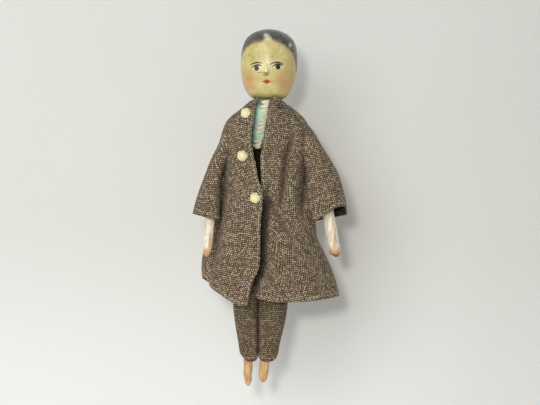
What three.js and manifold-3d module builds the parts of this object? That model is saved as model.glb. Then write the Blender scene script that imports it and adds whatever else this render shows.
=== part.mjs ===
// A jointed peg-wooden doll in a tweed coat and trousers, in millimetres.
// Built with +Z up and its face towards -Y, standing on the tip of its right foot at height 0.
// It is then moved down, so that the origin is in the middle of its waist, where a stand or hand holds it.
// Right and left are the doll's own: its right side is -X.

import * as THREE from 'three';
import { mergeVertices } from 'three/addons/utils/BufferGeometryUtils.js';
import Module from 'manifold-3d';

const wasm = await Module();
wasm.setup();

// ---------------------------------------------------------------- driving dimensions

const HEAD_TOP = 152.5;
const CHIN = 121;
const SHOULDER = { x: 13.5, y: 0, z: 107.2 };
const WAIST = 84;
const TORSO_BOTTOM = 68.2;
const HIP = { x: 4.4, y: 0, z: 64 };
const KNEE = { x: 4.6, y: 0, z: 34 };

// the arms don't hang alike: the left one is spread further, and the right one hangs in front of the coat
const ARMS = {
  right: {
    side: -1, width: 4.3, elbow: { x: 21.5, y: -1.5, z: 85.1 }, hand: { x: 22.9, y: -7.5, z: 54.4 },
  },
  left: {
    side: 1, width: 4.7, elbow: { x: 25.1, y: -1, z: 86.8 }, hand: { x: 31.6, y: -3, z: 56.5 },
  },
};
const FEET = {
  right: { side: -1, tip: { x: 3.2, y: -1.2, z: 0 }, width: 3.6 },
  left: { side: 1, tip: { x: 3.1, y: -1.2, z: 1.8 }, width: 4.2 },
};

const GAP = 0.4;            // between pieces that touch
const CLOTH = 1.0;          // thickness of coat and sleeve cloth
const THIN_CLOTH = 0.8;     // trousers, shirt and lace
const SEAM_Y = 0.8;         // side seams of the coat
const BACK_PLANE = 9.0;     // the coat's flat back, on which the doll lies
const LAP = 1.6;            // how far the right front stands forward over the left one
const RING = 36;            // points round a section

// ---------------------------------------------------------------- solids and booleans

function toSolid(geometry) {
  const plain = geometry.index ? geometry.clone() : geometry;
  plain.deleteAttribute('normal');
  plain.deleteAttribute('uv');
  const merged = mergeVertices(plain, 1e-5);
  const mesh = new wasm.Mesh({
    numProp: 3,
    vertProperties: new Float32Array(merged.attributes.position.array),
    triVerts: new Uint32Array(merged.index.array),
  });
  return new wasm.Manifold(mesh);
}

function toGeometry(solid) {
  const mesh = solid.getMesh();
  const geometry = new THREE.BufferGeometry();
  geometry.setAttribute('position', new THREE.BufferAttribute(mesh.vertProperties, 3));
  geometry.setIndex(new THREE.BufferAttribute(mesh.triVerts, 1));
  geometry.computeVertexNormals();
  return geometry;
}

function union(...solids) {
  return solids.reduce((sum, solid) => sum.add(solid));
}

function signedVolume(points, triangles) {
  const part = new THREE.Vector3();
  return triangles.reduce((sum, [a, b, c]) => (
    sum + points[a].dot(part.crossVectors(points[b], points[c])) / 6
  ), 0);
}

// Joins closed rings of equal length into a solid, with a fan over each end.
function loft(rings) {
  const count = rings[0].length;
  const points = rings.flat();
  const triangles = [];
  for (let i = 0; i < rings.length - 1; i++) {
    for (let j = 0; j < count; j++) {
      const next = (j + 1) % count;
      const [a, b] = [i * count + j, i * count + next];
      triangles.push([a, b, b + count], [a, b + count, a + count]);
    }
  }
  for (const [start, ring, flip] of [[0, rings[0], true], [points.length - count, rings.at(-1), false]]) {
    const middle = ring.reduce((sum, p) => sum.add(p), new THREE.Vector3()).divideScalar(count);
    const centre = points.push(middle) - 1;
    for (let j = 0; j < count; j++) {
      const [a, b] = [start + j, start + (j + 1) % count];
      triangles.push(flip ? [centre, b, a] : [centre, a, b]);
    }
  }
  const faces = signedVolume(points, triangles) < 0 ? triangles.map(([a, b, c]) => [a, c, b]) : triangles;
  const geometry = new THREE.BufferGeometry().setFromPoints(points);
  geometry.setIndex(faces.flat());
  return toSolid(geometry);
}

// A level section: half-width and depths from its middle, square-cornered as power rises above 2.
function section({ x = 0, y = 0, z, halfWidth, front, back = front, power = 2, backPlane = Infinity,
  points = RING }) {
  return Array.from({ length: points }, (_, i) => {
    const angle = (i / points) * 2 * Math.PI;
    const across = Math.sign(Math.cos(angle)) * Math.abs(Math.cos(angle)) ** (2 / power);
    const deep = Math.sign(Math.sin(angle)) * Math.abs(Math.sin(angle)) ** (2 / power);
    const height = typeof z === 'function' ? z(x + halfWidth * across) : z;
    return new THREE.Vector3(
      x + halfWidth * across,
      Math.min(y + deep * (deep < 0 ? front : back), backPlane),
      height,
    );
  });
}

function box(low, high) {
  const size = new THREE.Vector3(...high).sub(new THREE.Vector3(...low));
  const geometry = new THREE.BoxGeometry(size.x, size.y, size.z);
  geometry.translate(low[0] + size.x / 2, low[1] + size.y / 2, low[2] + size.z / 2);
  return toSolid(geometry);
}

// A rod across the doll, from side to side.
function crossRod(radius, xFrom, xTo, { y, z }) {
  const geometry = new THREE.CylinderGeometry(radius, radius, xTo - xFrom, 20);
  geometry.rotateZ(Math.PI / 2);
  geometry.translate((xFrom + xTo) / 2, y, z);
  return toSolid(geometry);
}

// A slab with a round end about a pivot and a square end at endZ, seen from the side.
function roundEndedSlab({ x, y, z, radius, width, endZ }) {
  const up = endZ < z ? 1 : -1;
  const shape = new THREE.Shape();
  shape.moveTo(-radius, endZ);
  shape.lineTo(-radius, z);
  shape.absarc(0, z, radius, Math.PI, 0, up > 0);
  shape.lineTo(radius, endZ);
  const extrusion = { depth: width, bevelEnabled: false, curveSegments: 10 };
  const geometry = new THREE.ExtrudeGeometry(shape, extrusion);
  // the outline's plane becomes the side plane, and its depth runs along X
  geometry.applyMatrix4(new THREE.Matrix4().makeBasis(
    new THREE.Vector3(0, 1, 0), new THREE.Vector3(0, 0, 1), new THREE.Vector3(1, 0, 0)));
  geometry.translate(x - width / 2, y, 0);
  return toSolid(geometry);
}

// The value of a list of [position, value] pairs, in falling or rising order, at a position.
function along(pairs, position) {
  const sorted = [...pairs].sort((a, b) => a[0] - b[0]);
  const after = sorted.findIndex(([at]) => at >= position);
  if (after <= 0) return sorted[after === 0 ? 0 : sorted.length - 1][1];
  const [[p0, v0], [p1, v1]] = [sorted[after - 1], sorted[after]];
  return v0 + (v1 - v0) * (position - p0) / (p1 - p0);
}

// ---------------------------------------------------------------- materials and the finished group

const PAINTS = {
  facePaint: { color: 0xd2c88c, roughness: 0.4 },
  bareWood: { color: 0xcda56e, roughness: 0.65 },
  wornPaint: { color: 0xe8dcc4, roughness: 0.6 },
  tweed: { color: 0x7d6355, roughness: 0.95 },
  mintCloth: { color: 0x9fc4ae, roughness: 0.9 },
  lace: { color: 0xe6dcb4, roughness: 0.9 },
  button: { color: 0xe4d5ac, roughness: 0.35 },
  thread: { color: 0x3a332f, roughness: 0.9 },
};

const doll = new THREE.Group();
doll.position.z = -WAIST;

function addPart(name, solid, paint) {
  const material = new THREE.MeshStandardMaterial({ ...PAINTS[paint], metalness: 0 });
  const mesh = new THREE.Mesh(toGeometry(solid), material);
  mesh.name = name;
  doll.add(mesh);
}

// ---------------------------------------------------------------- head and body

// half-width of the egg-shaped head at a height
const HEAD_OUTLINE = [
  [CHIN, 4.6], [122.3, 7.2], [125.3, 9.5], [130, 11.4], [136, 12.2], [141, 12.0], [145, 10.7],
  [149, 7.8], [151.4, 4.4], [HEAD_TOP, 1.2],
];
const HEAD_DEPTH_RATIO = 0.94;
const NECK_RADIUS = 3.8;
const SHOULDER_PEG_RADIUS = 1.2;
const HIP_PEG_RADIUS = 1.0;
const HIP_TONGUE = { halfThickness: 1.1, halfDepth: 3.2, bottom: 60.4 };
const NOSE = { x: -0.9, top: 136.9, bottom: 132.8, width: 2.2, reach: 2.2 };

function head(grow = 0) {
  return loft(HEAD_OUTLINE.map(([z, halfWidth], i) => section({
    z: z + (i === 0 ? -grow : 0) + (z === HEAD_TOP ? grow : 0),
    halfWidth: halfWidth + grow,
    front: halfWidth * HEAD_DEPTH_RATIO + grow,
    points: 28,
  })));
}

function trunk() {
  const levels = [
    { z: TORSO_BOTTOM, halfWidth: 8.8, front: 5.8 },
    { z: 75, halfWidth: 9.4, front: 6.0 },
    { z: WAIST, halfWidth: 8.0, front: 5.2 },
    { z: 99, halfWidth: 10.0, front: 5.4 },
    { z: 105, halfWidth: 10.9, front: 5.4 },
    { z: 112, halfWidth: 10.9, front: 5.4 },
    { z: 117.2, halfWidth: 8.0, front: 4.6 },
    { z: 118.8, halfWidth: NECK_RADIUS, front: NECK_RADIUS },
    { z: CHIN + 2, halfWidth: NECK_RADIUS, front: NECK_RADIUS },
  ];
  return loft(levels.map((level) => section({ ...level, power: 2.4, points: 28 })));
}

function noseWedge(grow) {
  const { x, top, bottom, width, reach } = NOSE;
  const face = -along(HEAD_OUTLINE, bottom) * HEAD_DEPTH_RATIO;
  const ring = (z, out, halfWidth) => [
    new THREE.Vector3(x - halfWidth, face + 2.4 + grow, z),
    new THREE.Vector3(x + halfWidth, face + 2.4 + grow, z),
    new THREE.Vector3(x + halfWidth * 0.6, face - out, z),
    new THREE.Vector3(x - halfWidth * 0.6, face - out, z),
  ];
  return loft([
    ring(bottom - grow, reach + grow, width / 2 + grow),
    ring(bottom + 0.8, reach + grow, width / 2 + grow),
    ring(top + grow, 0.3 + grow, width / 4 + grow),
  ]);
}

function headAndTorso() {
  const { halfThickness, halfDepth, bottom } = HIP_TONGUE;
  const tongue = roundEndedSlab({
    x: 0, y: 0, z: HIP.z, radius: halfDepth, width: 2 * halfThickness, endZ: TORSO_BOTTOM + 1,
  }).intersect(box([-5, -5, bottom], [5, 5, TORSO_BOTTOM + 2]));
  return union(head(), trunk(), tongue)
    .subtract(crossRod(SHOULDER_PEG_RADIUS + GAP, -20, 20, SHOULDER))
    .subtract(crossRod(HIP_PEG_RADIUS + GAP, -5, 5, HIP))
    .subtract(noseWedge(GAP));
}

addPart('head_and_torso', headAndTorso(), 'facePaint');
addPart('nose', noseWedge(0), 'facePaint');

// ---------------------------------------------------------------- jointed limbs

const ARM_JOINT = { radius: 2.3, slot: 2.2, tongue: 1.4, pegRadius: 0.5 };
const LEG_JOINT = { radius: 2.7, slot: 2.8, tongue: 2.0, pegRadius: 0.6 };
const UPPER_ARM_WIDTH = 4.2;
const THIGH_WIDTH = 5.6;
const KNUCKLE_RADIUS = { arm: 2.9, thigh: 3.3 };
const SHAFT_POINTS = 12;

// A limb from a pegged round knuckle down to a fork, with a slot that takes the next limb's tongue.
function upperLimb({ side, from, to, width, knuckle, joint, pegRadius }) {
  const top = { ...from, x: side * from.x };
  const end = { ...to, x: side * to.x };
  const slotRoom = joint.radius + 2 * GAP;
  const shaftTop = top.z - knuckle * 0.3;
  const shaftEnd = end.z + slotRoom + 1;
  const profile = { halfWidth: width / 2, power: 3, points: SHAFT_POINTS };
  const shaft = loft([
    section({ ...end, ...profile, z: shaftEnd, front: joint.radius }),
    section({ ...top, ...profile, z: shaftTop, front: knuckle }),
  ]);
  const knuckleSlab = roundEndedSlab({ ...top, radius: knuckle, width, endZ: shaftTop - 0.6 });
  const fork = roundEndedSlab({ ...end, radius: joint.radius, width, endZ: shaftEnd + 0.2 });
  const slot = box(
    [end.x - joint.slot / 2, -10, end.z - slotRoom],
    [end.x + joint.slot / 2, 10, end.z + slotRoom]);
  const reach = width / 2 + 1;
  return union(shaft, knuckleSlab, fork)
    .subtract(slot)
    .subtract(crossRod(pegRadius + GAP, top.x - reach, top.x + reach, top))
    .subtract(crossRod(joint.pegRadius + GAP, end.x - reach, end.x + reach, end));
}

// A limb from a tongue down to a tapered, whittled tip.
function lowerLimb({ side, from, tip, width, joint }) {
  const pivot = { ...from, x: side * from.x };
  const start = pivot.z - joint.radius - GAP;
  const length = start - tip.z;
  const tongue = roundEndedSlab({
    ...pivot, radius: joint.radius - GAP, width: joint.tongue, endZ: start - 2,
  });
  const stations = [
    { down: 0, size: 1.05 }, { down: 0.45, size: 1.0 }, { down: 0.85, size: 0.9 },
    { down: 0.95, size: 0.7 }, { down: 1, size: 0.3 },
  ];
  const shaft = loft(stations.map(({ down, size }) => section({
    x: pivot.x + (side * tip.x - pivot.x) * down,
    y: pivot.y + (tip.y - pivot.y) * down,
    z: start - length * down,
    halfWidth: size * width / 2,
    front: size * width / 2,
    power: 2.6,
    points: SHAFT_POINTS,
  })));
  return union(tongue, shaft)
    .subtract(crossRod(joint.pegRadius + GAP, pivot.x - width, pivot.x + width, pivot));
}

// A peg through the trunk that ends flush with the outer sides of the two limbs it carries.
function crossPeg(radius, joint, limbWidth) {
  const reach = joint.x + limbWidth / 2;
  return crossRod(radius, -reach, reach, joint);
}

addPart('shoulder_peg', crossPeg(SHOULDER_PEG_RADIUS, SHOULDER, UPPER_ARM_WIDTH), 'bareWood');
addPart('hip_peg', crossPeg(HIP_PEG_RADIUS, HIP, THIGH_WIDTH), 'bareWood');

for (const [name, { side, elbow, hand, width }] of Object.entries(ARMS)) {
  const pegX = side * elbow.x;
  addPart(`upper_arm_${name}`, upperLimb({
    side, from: SHOULDER, to: elbow, width: UPPER_ARM_WIDTH, knuckle: KNUCKLE_RADIUS.arm,
    joint: ARM_JOINT, pegRadius: SHOULDER_PEG_RADIUS,
  }), 'bareWood');
  addPart(`forearm_${name}`, lowerLimb({
    side, from: elbow, tip: hand, width, joint: ARM_JOINT,
  }), 'wornPaint');
  addPart(`elbow_peg_${name}`, crossRod(ARM_JOINT.pegRadius,
    pegX - UPPER_ARM_WIDTH / 2, pegX + UPPER_ARM_WIDTH / 2, elbow), 'bareWood');
}

for (const [name, { side, tip, width }] of Object.entries(FEET)) {
  const pegX = side * KNEE.x;
  addPart(`thigh_${name}`, upperLimb({
    side, from: HIP, to: KNEE, width: THIGH_WIDTH, knuckle: KNUCKLE_RADIUS.thigh,
    joint: LEG_JOINT, pegRadius: HIP_PEG_RADIUS,
  }), 'bareWood');
  addPart(`lower_leg_${name}`, lowerLimb({
    side, from: KNEE, tip, width, joint: LEG_JOINT,
  }), 'bareWood');
  addPart(`knee_peg_${name}`, crossRod(LEG_JOINT.pegRadius,
    pegX - THIGH_WIDTH / 2, pegX + THIGH_WIDTH / 2, KNEE), 'bareWood');
}

// ---------------------------------------------------------------- sleeves

// Each section of a sleeve runs from a point at the armpit side to one on the outer side.
const SLEEVES = {
  right: {
    side: -1,
    sections: [
      { inner: [17.6, 87], outer: [17.8, 111], y: 0, depth: 7.0 },
      { inner: [17.4, 84], outer: [21.9, 98.5], y: -0.5, depth: 6.6 },
      { inner: [17.4, 79], outer: [26.6, 86], y: -1.5, depth: 6.2 },
      { inner: [17.9, 69.6], outer: [29.9, 72], y: -3.5, depth: 5.8 },
    ],
  },
  left: {
    side: 1,
    sections: [
      { inner: [18.2, 91], outer: [18.4, 111], y: 0, depth: 7.0 },
      { inner: [18.8, 88], outer: [25.4, 101], y: -0.5, depth: 6.8 },
      { inner: [20.3, 80], outer: [32.4, 89], y: -1, depth: 6.4 },
      { inner: [22.6, 71.6], outer: [36.0, 75.2], y: -1.5, depth: 6.2 },
    ],
  },
};
const SLEEVE_POINTS = 24;

function sleeveRing({ inner, outer, y, depth }, side, grow) {
  const across = new THREE.Vector2(outer[0] - inner[0], outer[1] - inner[1]).normalize();
  const middle = [(inner[0] + outer[0]) / 2, (inner[1] + outer[1]) / 2];
  const reach = Math.hypot(outer[0] - inner[0], outer[1] - inner[1]) / 2 + grow;
  return Array.from({ length: SLEEVE_POINTS }, (_, i) => {
    const angle = (i / SLEEVE_POINTS) * 2 * Math.PI;
    const out = Math.cos(angle) * reach;
    const deep = Math.sin(angle) * (depth + grow);
    return new THREE.Vector3(side * (middle[0] + across.x * out), y + deep, middle[1] + across.y * out);
  });
}

// A sleeve's outer form, grown all round and carried on past its armhole and its cuff.
function sleeveForm({ side, sections }, { grow = 0, pastArmhole = 0, pastCuff = 0 } = {}) {
  const rings = sections.map((ring) => sleeveRing(ring, side, grow));
  rings[0].forEach((p) => p.setX(p.x - side * pastArmhole));
  rings.at(-1).forEach((p) => p.setZ(p.z - pastCuff));
  return loft(rings);
}

// The room inside a sleeve, which opens through the coat to the chest and out of the cuff.
function sleeveRoom(sleeve) {
  return sleeveForm(sleeve, { grow: -CLOTH, pastArmhole: 5, pastCuff: 0.5 });
}

for (const [name, sleeve] of Object.entries(SLEEVES)) {
  addPart(`sleeve_${name}`, sleeveForm(sleeve).subtract(sleeveRoom(sleeve)), 'tweed');
}

// ---------------------------------------------------------------- coat

// The coat's half-widths to the doll's right and left, the y of its middle and its reach in front.
const COAT_LEVELS = [
  { z: 119.8, right: 7.8, left: 7.8, y: 0, front: 7.2 },
  { z: 118.5, right: 9.4, left: 9.6, y: 0, front: 7.6 },
  { z: 116.5, right: 12.4, left: 13, y: 0, front: 8.4 },
  { z: 113.5, right: 16.6, left: 16.8, y: 0, front: 9 },
  { z: 110, right: 17.7, left: 17.9, y: 0, front: 9.4 },
  { z: 95, right: 17.7, left: 17.9, y: 0, front: 10 },
  { z: 84, right: 17.4, left: 19, y: 1.5, front: 10.6 },
  { z: 72, right: 17.6, left: 22, y: 3, front: 11.4 },
  { z: 60, right: 22.8, left: 25.6, y: 4, front: 12.4 },
  { z: 50, right: 24.5, left: 30.6, y: 4, front: 13.4 },
];
const COAT_HEM = { right: 24.5, left: 33.6, y: 4, front: 14 };
const COAT_POWER = 1.9;
const FRONT_RIGHT_HEM = [[-25, 45.6], [-20.6, 41.4], [-5.5, 34.2], [5, 34.2]];
const FRONT_LEFT_HEM = [[-6, 38.1], [12, 36.7], [34, 39.7]];
const BACK_HEM = [[-25, 43], [-12, 38], [34, 40]];

// where each front ends towards the middle, from the collar down, as [height, x]
const FRONT_RIGHT_EDGE = [
  [126, -4.8], [107.4, -5.9], [94.4, -2.9], [82.8, 0], [53, -0.2], [44.3, -2.8], [30, -5.6],
];
const FRONT_LEFT_EDGE = [[126, 2.4], [120, 0.4], [109, -0.4], [101.5, -1.5], [90, -4], [30, -4]];

// The coat's closed form: lap moves its front forward, and inset moves all of it in.
function coatForm({ hem, lap, inset = 0, pastNeck = 0, pastHem = 0 }) {
  const levels = [...COAT_LEVELS, { ...COAT_HEM, z: (x) => along(hem, x) }];
  const rings = levels.map(({ z, right, left, y, front }) => section({
    x: (left - right) / 2,
    y,
    z,
    halfWidth: (left + right) / 2 - inset,
    front: y + front + lap - inset,
    back: BACK_PLANE + 1.5 - y - inset,
    power: COAT_POWER,
    backPlane: BACK_PLANE - inset,
  }));
  rings[0].forEach((p) => p.setZ(p.z + pastNeck));
  rings.at(-1).forEach((p) => p.setZ(p.z - pastHem));
  return loft(rings);
}

function coatShell(lap, hem) {
  const room = coatForm({ hem, lap, inset: CLOTH, pastNeck: 1, pastHem: 5 });
  return Object.values(SLEEVES).reduce(
    (shell, sleeve) => shell
      .subtract(sleeveForm(sleeve, { grow: GAP, pastArmhole: GAP, pastCuff: GAP }))
      .subtract(sleeveRoom(sleeve)),
    coatForm({ hem, lap }).subtract(room).subtract(head(GAP)));
}

// What lies in front of the side seams, on one side of an edge that runs down the front.
function frontCutter(edge, side) {
  const shape = new THREE.Shape();
  shape.moveTo(side * 60, edge[0][0]);
  edge.forEach(([z, x]) => shape.lineTo(x, z));
  shape.lineTo(side * 60, edge.at(-1)[0]);
  const geometry = new THREE.ExtrudeGeometry(shape, { depth: 60, bevelEnabled: false });
  geometry.rotateX(Math.PI / 2);
  geometry.translate(0, SEAM_Y - GAP / 2, 0);
  return toSolid(geometry);
}

const coatBack = coatShell(0, BACK_HEM).intersect(box([-60, SEAM_Y + GAP / 2, 20], [60, 60, 130]));
const frontRight = coatShell(LAP, FRONT_RIGHT_HEM).intersect(frontCutter(FRONT_RIGHT_EDGE, -1));
const frontLeft = coatShell(0, FRONT_LEFT_HEM).intersect(frontCutter(FRONT_LEFT_EDGE, 1));
addPart('coat_back', coatBack, 'tweed');
addPart('coat_front_right', frontRight, 'tweed');
addPart('coat_front_left', frontLeft, 'tweed');

// a stand-up collar, open at the throat
const COLLAR = {
  bottom: 120.2, top: 124, halfWidth: 8.6, front: 9.4, flare: 0.6, openFrom: -3.4, openTo: 1.2,
};

function collar() {
  const { bottom, top, halfWidth, front, flare, openFrom, openTo } = COLLAR;
  const ring = (z, grow) => section({ z, halfWidth: halfWidth + grow, front: front + grow });
  const outside = loft([ring(bottom, 0), ring(top, flare)]);
  const inside = loft([ring(bottom - 1, -CLOTH), ring(top + 1, flare - CLOTH)]);
  const throat = box([openFrom, -20, 100], [openTo, 0, 130]);
  return outside.subtract(inside).subtract(throat).subtract(head(GAP));
}

addPart('coat_collar', collar(), 'tweed');

// ---------------------------------------------------------------- shirt front

const SHIRT = { bottom: 92, top: 116, right: -7.5, left: 3.5, front: 6.8 };
const LACE = { right: -3.0, left: -0.7, front: 7.5 };

function chestPatch({ right, left, front }, { bottom, top }, thickness) {
  const bow = (x) => -front + (x / 14) ** 2 * 3;
  const steps = 6;
  const outline = new THREE.Shape();
  for (let i = 0; i <= steps; i++) {
    const x = right + (left - right) * i / steps;
    if (i === 0) outline.moveTo(x, bow(x));
    else outline.lineTo(x, bow(x));
  }
  for (let i = steps; i >= 0; i--) {
    const x = right + (left - right) * i / steps;
    outline.lineTo(x, bow(x) + thickness);
  }
  const geometry = new THREE.ExtrudeGeometry(outline, { depth: top - bottom, bevelEnabled: false });
  geometry.translate(0, 0, bottom);
  return toSolid(geometry);
}

addPart('shirt_front', chestPatch(SHIRT, SHIRT, THIN_CLOTH), 'mintCloth');
addPart('shirt_lace', chestPatch(LACE, SHIRT, 0.4), 'lace');

// ---------------------------------------------------------------- trousers

const TROUSER_OUTER = {
  right: [[66, 11.6], [50, 11.6], [36, 11.1], [25.5, 9.7], [16, 7.7], [11, 7.0]],
  left: [[66, 11.6], [50, 12.2], [36, 12.3], [23.6, 10.7], [16.8, 9.4], [11, 8.8]],
};
const TROUSER_DEPTH = [[66, 6.4], [36, 5.6], [11, 4.2]];
const TROUSER_SEAT = { bottom: 57, top: 80, halfWidth: 11.8, depth: 7.2 };
const CENTRE_SEAM = 0.25;

function trouserLeg(side, outer) {
  const tube = (grow, past) => loft(outer.map(([z, x], i) => {
    const end = { 0: 1, [outer.length - 1]: -1 }[i] ?? 0;
    return section({
      x: side * (x + CENTRE_SEAM) / 2, z: z + end * past, halfWidth: (x - CENTRE_SEAM) / 2 + grow,
      front: along(TROUSER_DEPTH, z) + grow, power: 3.2, points: 24,
    });
  }));
  const seat = (grow, bottom, top) => loft([bottom, top].map((z) => section({
    z, halfWidth: TROUSER_SEAT.halfWidth + grow, front: TROUSER_SEAT.depth + grow, power: 2.4,
  })));
  const halfSide = (from) => box(
    [Math.min(side * from, side * 30), -30, 0], [Math.max(side * from, side * 30), 30, 100]);
  const { bottom, top } = TROUSER_SEAT;
  const outside = union(tube(0, 0), seat(0, bottom, top).intersect(halfSide(CENTRE_SEAM)));
  const room = union(tube(-THIN_CLOTH, 1), seat(-THIN_CLOTH, bottom + THIN_CLOTH, top + 1));
  return outside.subtract(room);
}

addPart('trouser_leg_right', trouserLeg(-1, TROUSER_OUTER.right), 'tweed');
addPart('trouser_leg_left', trouserLeg(1, TROUSER_OUTER.left), 'tweed');

// ---------------------------------------------------------------- buttons and collar knot

const BUTTONS = { top: [-8.8, 115.8], middle: [-9.5, 97.7], bottom: [-3.4, 80.2] };
const BUTTON = { radius: 2.35, thickness: 1.9, threadRadius: 0.6, threadLength: 0.6 };

// how far forward the right front's cloth stands at a place
function frontSurface(x, z) {
  const by = (key) => along(COAT_LEVELS.map((level) => [level.z, level[key]]), z);
  const [right, left, y, front] = [by('right'), by('left'), by('y'), by('front')];
  const across = Math.abs(x - (left - right) / 2) / ((left + right) / 2);
  return y - (y + front + LAP) * (1 - across ** COAT_POWER) ** (1 / COAT_POWER);
}

function turnedForward(profile, [x, z], y) {
  const geometry = new THREE.LatheGeometry(profile.map(([r, h]) => new THREE.Vector2(r, h)), 20);
  geometry.rotateX(Math.PI);
  geometry.translate(x, y, z);
  return toSolid(geometry);
}

for (const [name, place] of Object.entries(BUTTONS)) {
  const slope = 0.5;   // clears the cloth, which falls away or rises across a button's width
  const cloth = frontSurface(...place) - slope;
  const { radius, thickness, threadRadius, threadLength } = BUTTON;
  const threadProfile = [[0, 0], [threadRadius, 0], [threadRadius, threadLength], [0, threadLength]];
  const buttonProfile = [
    [0, 0], [radius * 0.8, 0], [radius, thickness * 0.3], [radius * 0.85, thickness * 0.75],
    [radius * 0.45, thickness], [0, thickness],
  ];
  addPart(`button_thread_${name}`, turnedForward(threadProfile, place, cloth), 'thread');
  addPart(`button_${name}`, turnedForward(buttonProfile, place, cloth - threadLength - GAP), 'button');
}

const KNOT = { x: 4.8, y: -9.3, z: 119.8, radius: 1.0 };
const knot = new THREE.IcosahedronGeometry(KNOT.radius, 1);
knot.translate(KNOT.x, KNOT.y, KNOT.z);
addPart('collar_knot', toSolid(knot), 'thread');

export default doll;
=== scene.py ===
"""A jointed peg-wooden doll in a tweed coat: the finished look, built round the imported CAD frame.

Lengths are in millimetres until place() turns them into the frame's metres. A point is (x, y, h): x to the
doll's left, y to its back, and h up from the tip of its right foot. Right and left are the doll's own.
"""

import math
import random

import bmesh
import bpy
import numpy as np
from mathutils import Matrix, Vector


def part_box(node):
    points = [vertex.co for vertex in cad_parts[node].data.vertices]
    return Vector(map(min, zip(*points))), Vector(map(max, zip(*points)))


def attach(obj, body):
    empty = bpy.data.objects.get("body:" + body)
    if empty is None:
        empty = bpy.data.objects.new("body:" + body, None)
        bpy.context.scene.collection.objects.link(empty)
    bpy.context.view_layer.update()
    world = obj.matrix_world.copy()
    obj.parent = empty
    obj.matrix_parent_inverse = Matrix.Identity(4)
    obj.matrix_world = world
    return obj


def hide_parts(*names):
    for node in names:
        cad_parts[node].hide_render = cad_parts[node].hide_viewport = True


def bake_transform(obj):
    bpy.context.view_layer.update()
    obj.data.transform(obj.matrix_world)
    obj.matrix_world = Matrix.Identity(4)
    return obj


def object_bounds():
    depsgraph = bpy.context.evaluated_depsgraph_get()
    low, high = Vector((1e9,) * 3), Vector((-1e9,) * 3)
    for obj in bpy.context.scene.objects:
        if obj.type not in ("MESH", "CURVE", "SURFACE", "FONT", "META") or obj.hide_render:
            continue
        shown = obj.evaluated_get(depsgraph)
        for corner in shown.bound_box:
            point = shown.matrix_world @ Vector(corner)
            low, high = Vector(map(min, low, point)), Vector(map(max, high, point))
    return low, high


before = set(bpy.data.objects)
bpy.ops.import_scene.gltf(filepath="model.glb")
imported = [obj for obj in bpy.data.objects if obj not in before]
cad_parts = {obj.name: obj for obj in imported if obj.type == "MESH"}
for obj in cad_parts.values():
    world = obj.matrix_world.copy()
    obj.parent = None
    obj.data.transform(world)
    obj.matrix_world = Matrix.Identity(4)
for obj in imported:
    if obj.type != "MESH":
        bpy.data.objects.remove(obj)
CAD_LOW, CAD_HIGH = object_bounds()

MM = 0.001
GROUND = CAD_LOW.z
SIDES = {"right": -1, "left": 1}


def place(x, y, h):
    """A doll point in the frame, in metres."""
    return Vector((x * MM, y * MM, GROUND + h * MM))


# ---- camera

FRAME_HEIGHT = 173  # what the picture's height takes in at the doll
AIM = (2.9, 0, 78.5)
LENS = 135
SENSOR = 36
ROLL = math.radians(2.4)  # the doll leans in the picture


def make_camera():
    data = bpy.data.cameras.new("camera")
    data.lens = LENS
    data.sensor_width = SENSOR
    camera = bpy.data.objects.new("camera", data)
    bpy.context.scene.collection.objects.link(camera)
    distance = LENS / SENSOR * FRAME_HEIGHT * 540 / 405 * MM
    camera.location = place(*AIM) + Vector((0, -distance, 0))
    facing = Matrix.Rotation(math.pi / 2, 4, "X") @ Matrix.Rotation(ROLL, 4, "Z")
    camera.rotation_mode = "QUATERNION"
    camera.rotation_quaternion = facing.to_quaternion()
    camera.data.clip_start = 0.01
    camera.data.clip_end = 20
    bpy.context.scene.camera = camera


make_camera()

# ---- curves and meshes


class Curve:
    """A smooth curve through (at, value) pairs that never overshoots them."""

    def __init__(self, *pairs):
        pairs = sorted(pairs)
        self.at = np.array([p[0] for p in pairs], float)
        self.value = np.array([p[1] for p in pairs], float)
        step = np.diff(self.at)
        slope = np.diff(self.value.T).T / (step if self.value.ndim == 1 else step[:, None])
        self.tangent = np.zeros_like(self.value)
        before, after = slope[:-1], slope[1:]
        same_way = before * after > 0
        with np.errstate(divide="ignore", invalid="ignore"):
            mean = 2 * before * after / (before + after)
        self.tangent[1:-1] = np.where(same_way, mean, 0)
        self.tangent[0], self.tangent[-1] = slope[0], slope[-1]

    def __call__(self, where):
        where = np.clip(where, self.at[0], self.at[-1])
        i = np.clip(np.searchsorted(self.at, where) - 1, 0, len(self.at) - 2)
        step = self.at[i + 1] - self.at[i]
        t = (where - self.at[i]) / step
        start = (1 + 2 * t) * (1 - t) ** 2 * self.value[i] + t * (1 - t) ** 2 * step * self.tangent[i]
        end = t * t * (3 - 2 * t) * self.value[i + 1] + t * t * (t - 1) * step * self.tangent[i + 1]
        return start + end


def ease(low, high, value):
    """0 below low, 1 above high, and smooth between."""
    t = np.clip((value - low) / (high - low), 0, 1)
    return t * t * (3 - 2 * t)


def around(count):
    """Angles evenly spaced round a ring."""
    return [math.tau * j / count for j in range(count)]


def ellipse(half_width, half_depth, h, count):
    return [(half_width * math.cos(a), half_depth * math.sin(a), h) for a in around(count)]


def signed_power(value, power):
    """A power of a number's size, with its sign kept."""
    return math.copysign(abs(value) ** power, value)


def new_object(name, vertices, faces, corner_uvs=None, smooth=True):
    """A mesh object. corner_uvs gives each face's cloth coordinates, corner by corner."""
    mesh = bpy.data.meshes.new(name)
    mesh.from_pydata([tuple(v) for v in vertices], [], faces)
    if corner_uvs is not None:
        layer = mesh.uv_layers.new(name="Cloth")
        for corner, uv in zip(layer.data, corner_uvs):
            corner.uv = uv
    mesh.validate()
    if smooth:
        mesh.shade_smooth()
    thing = bpy.data.objects.new(name, mesh)
    bpy.context.scene.collection.objects.link(thing)
    return thing


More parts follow.
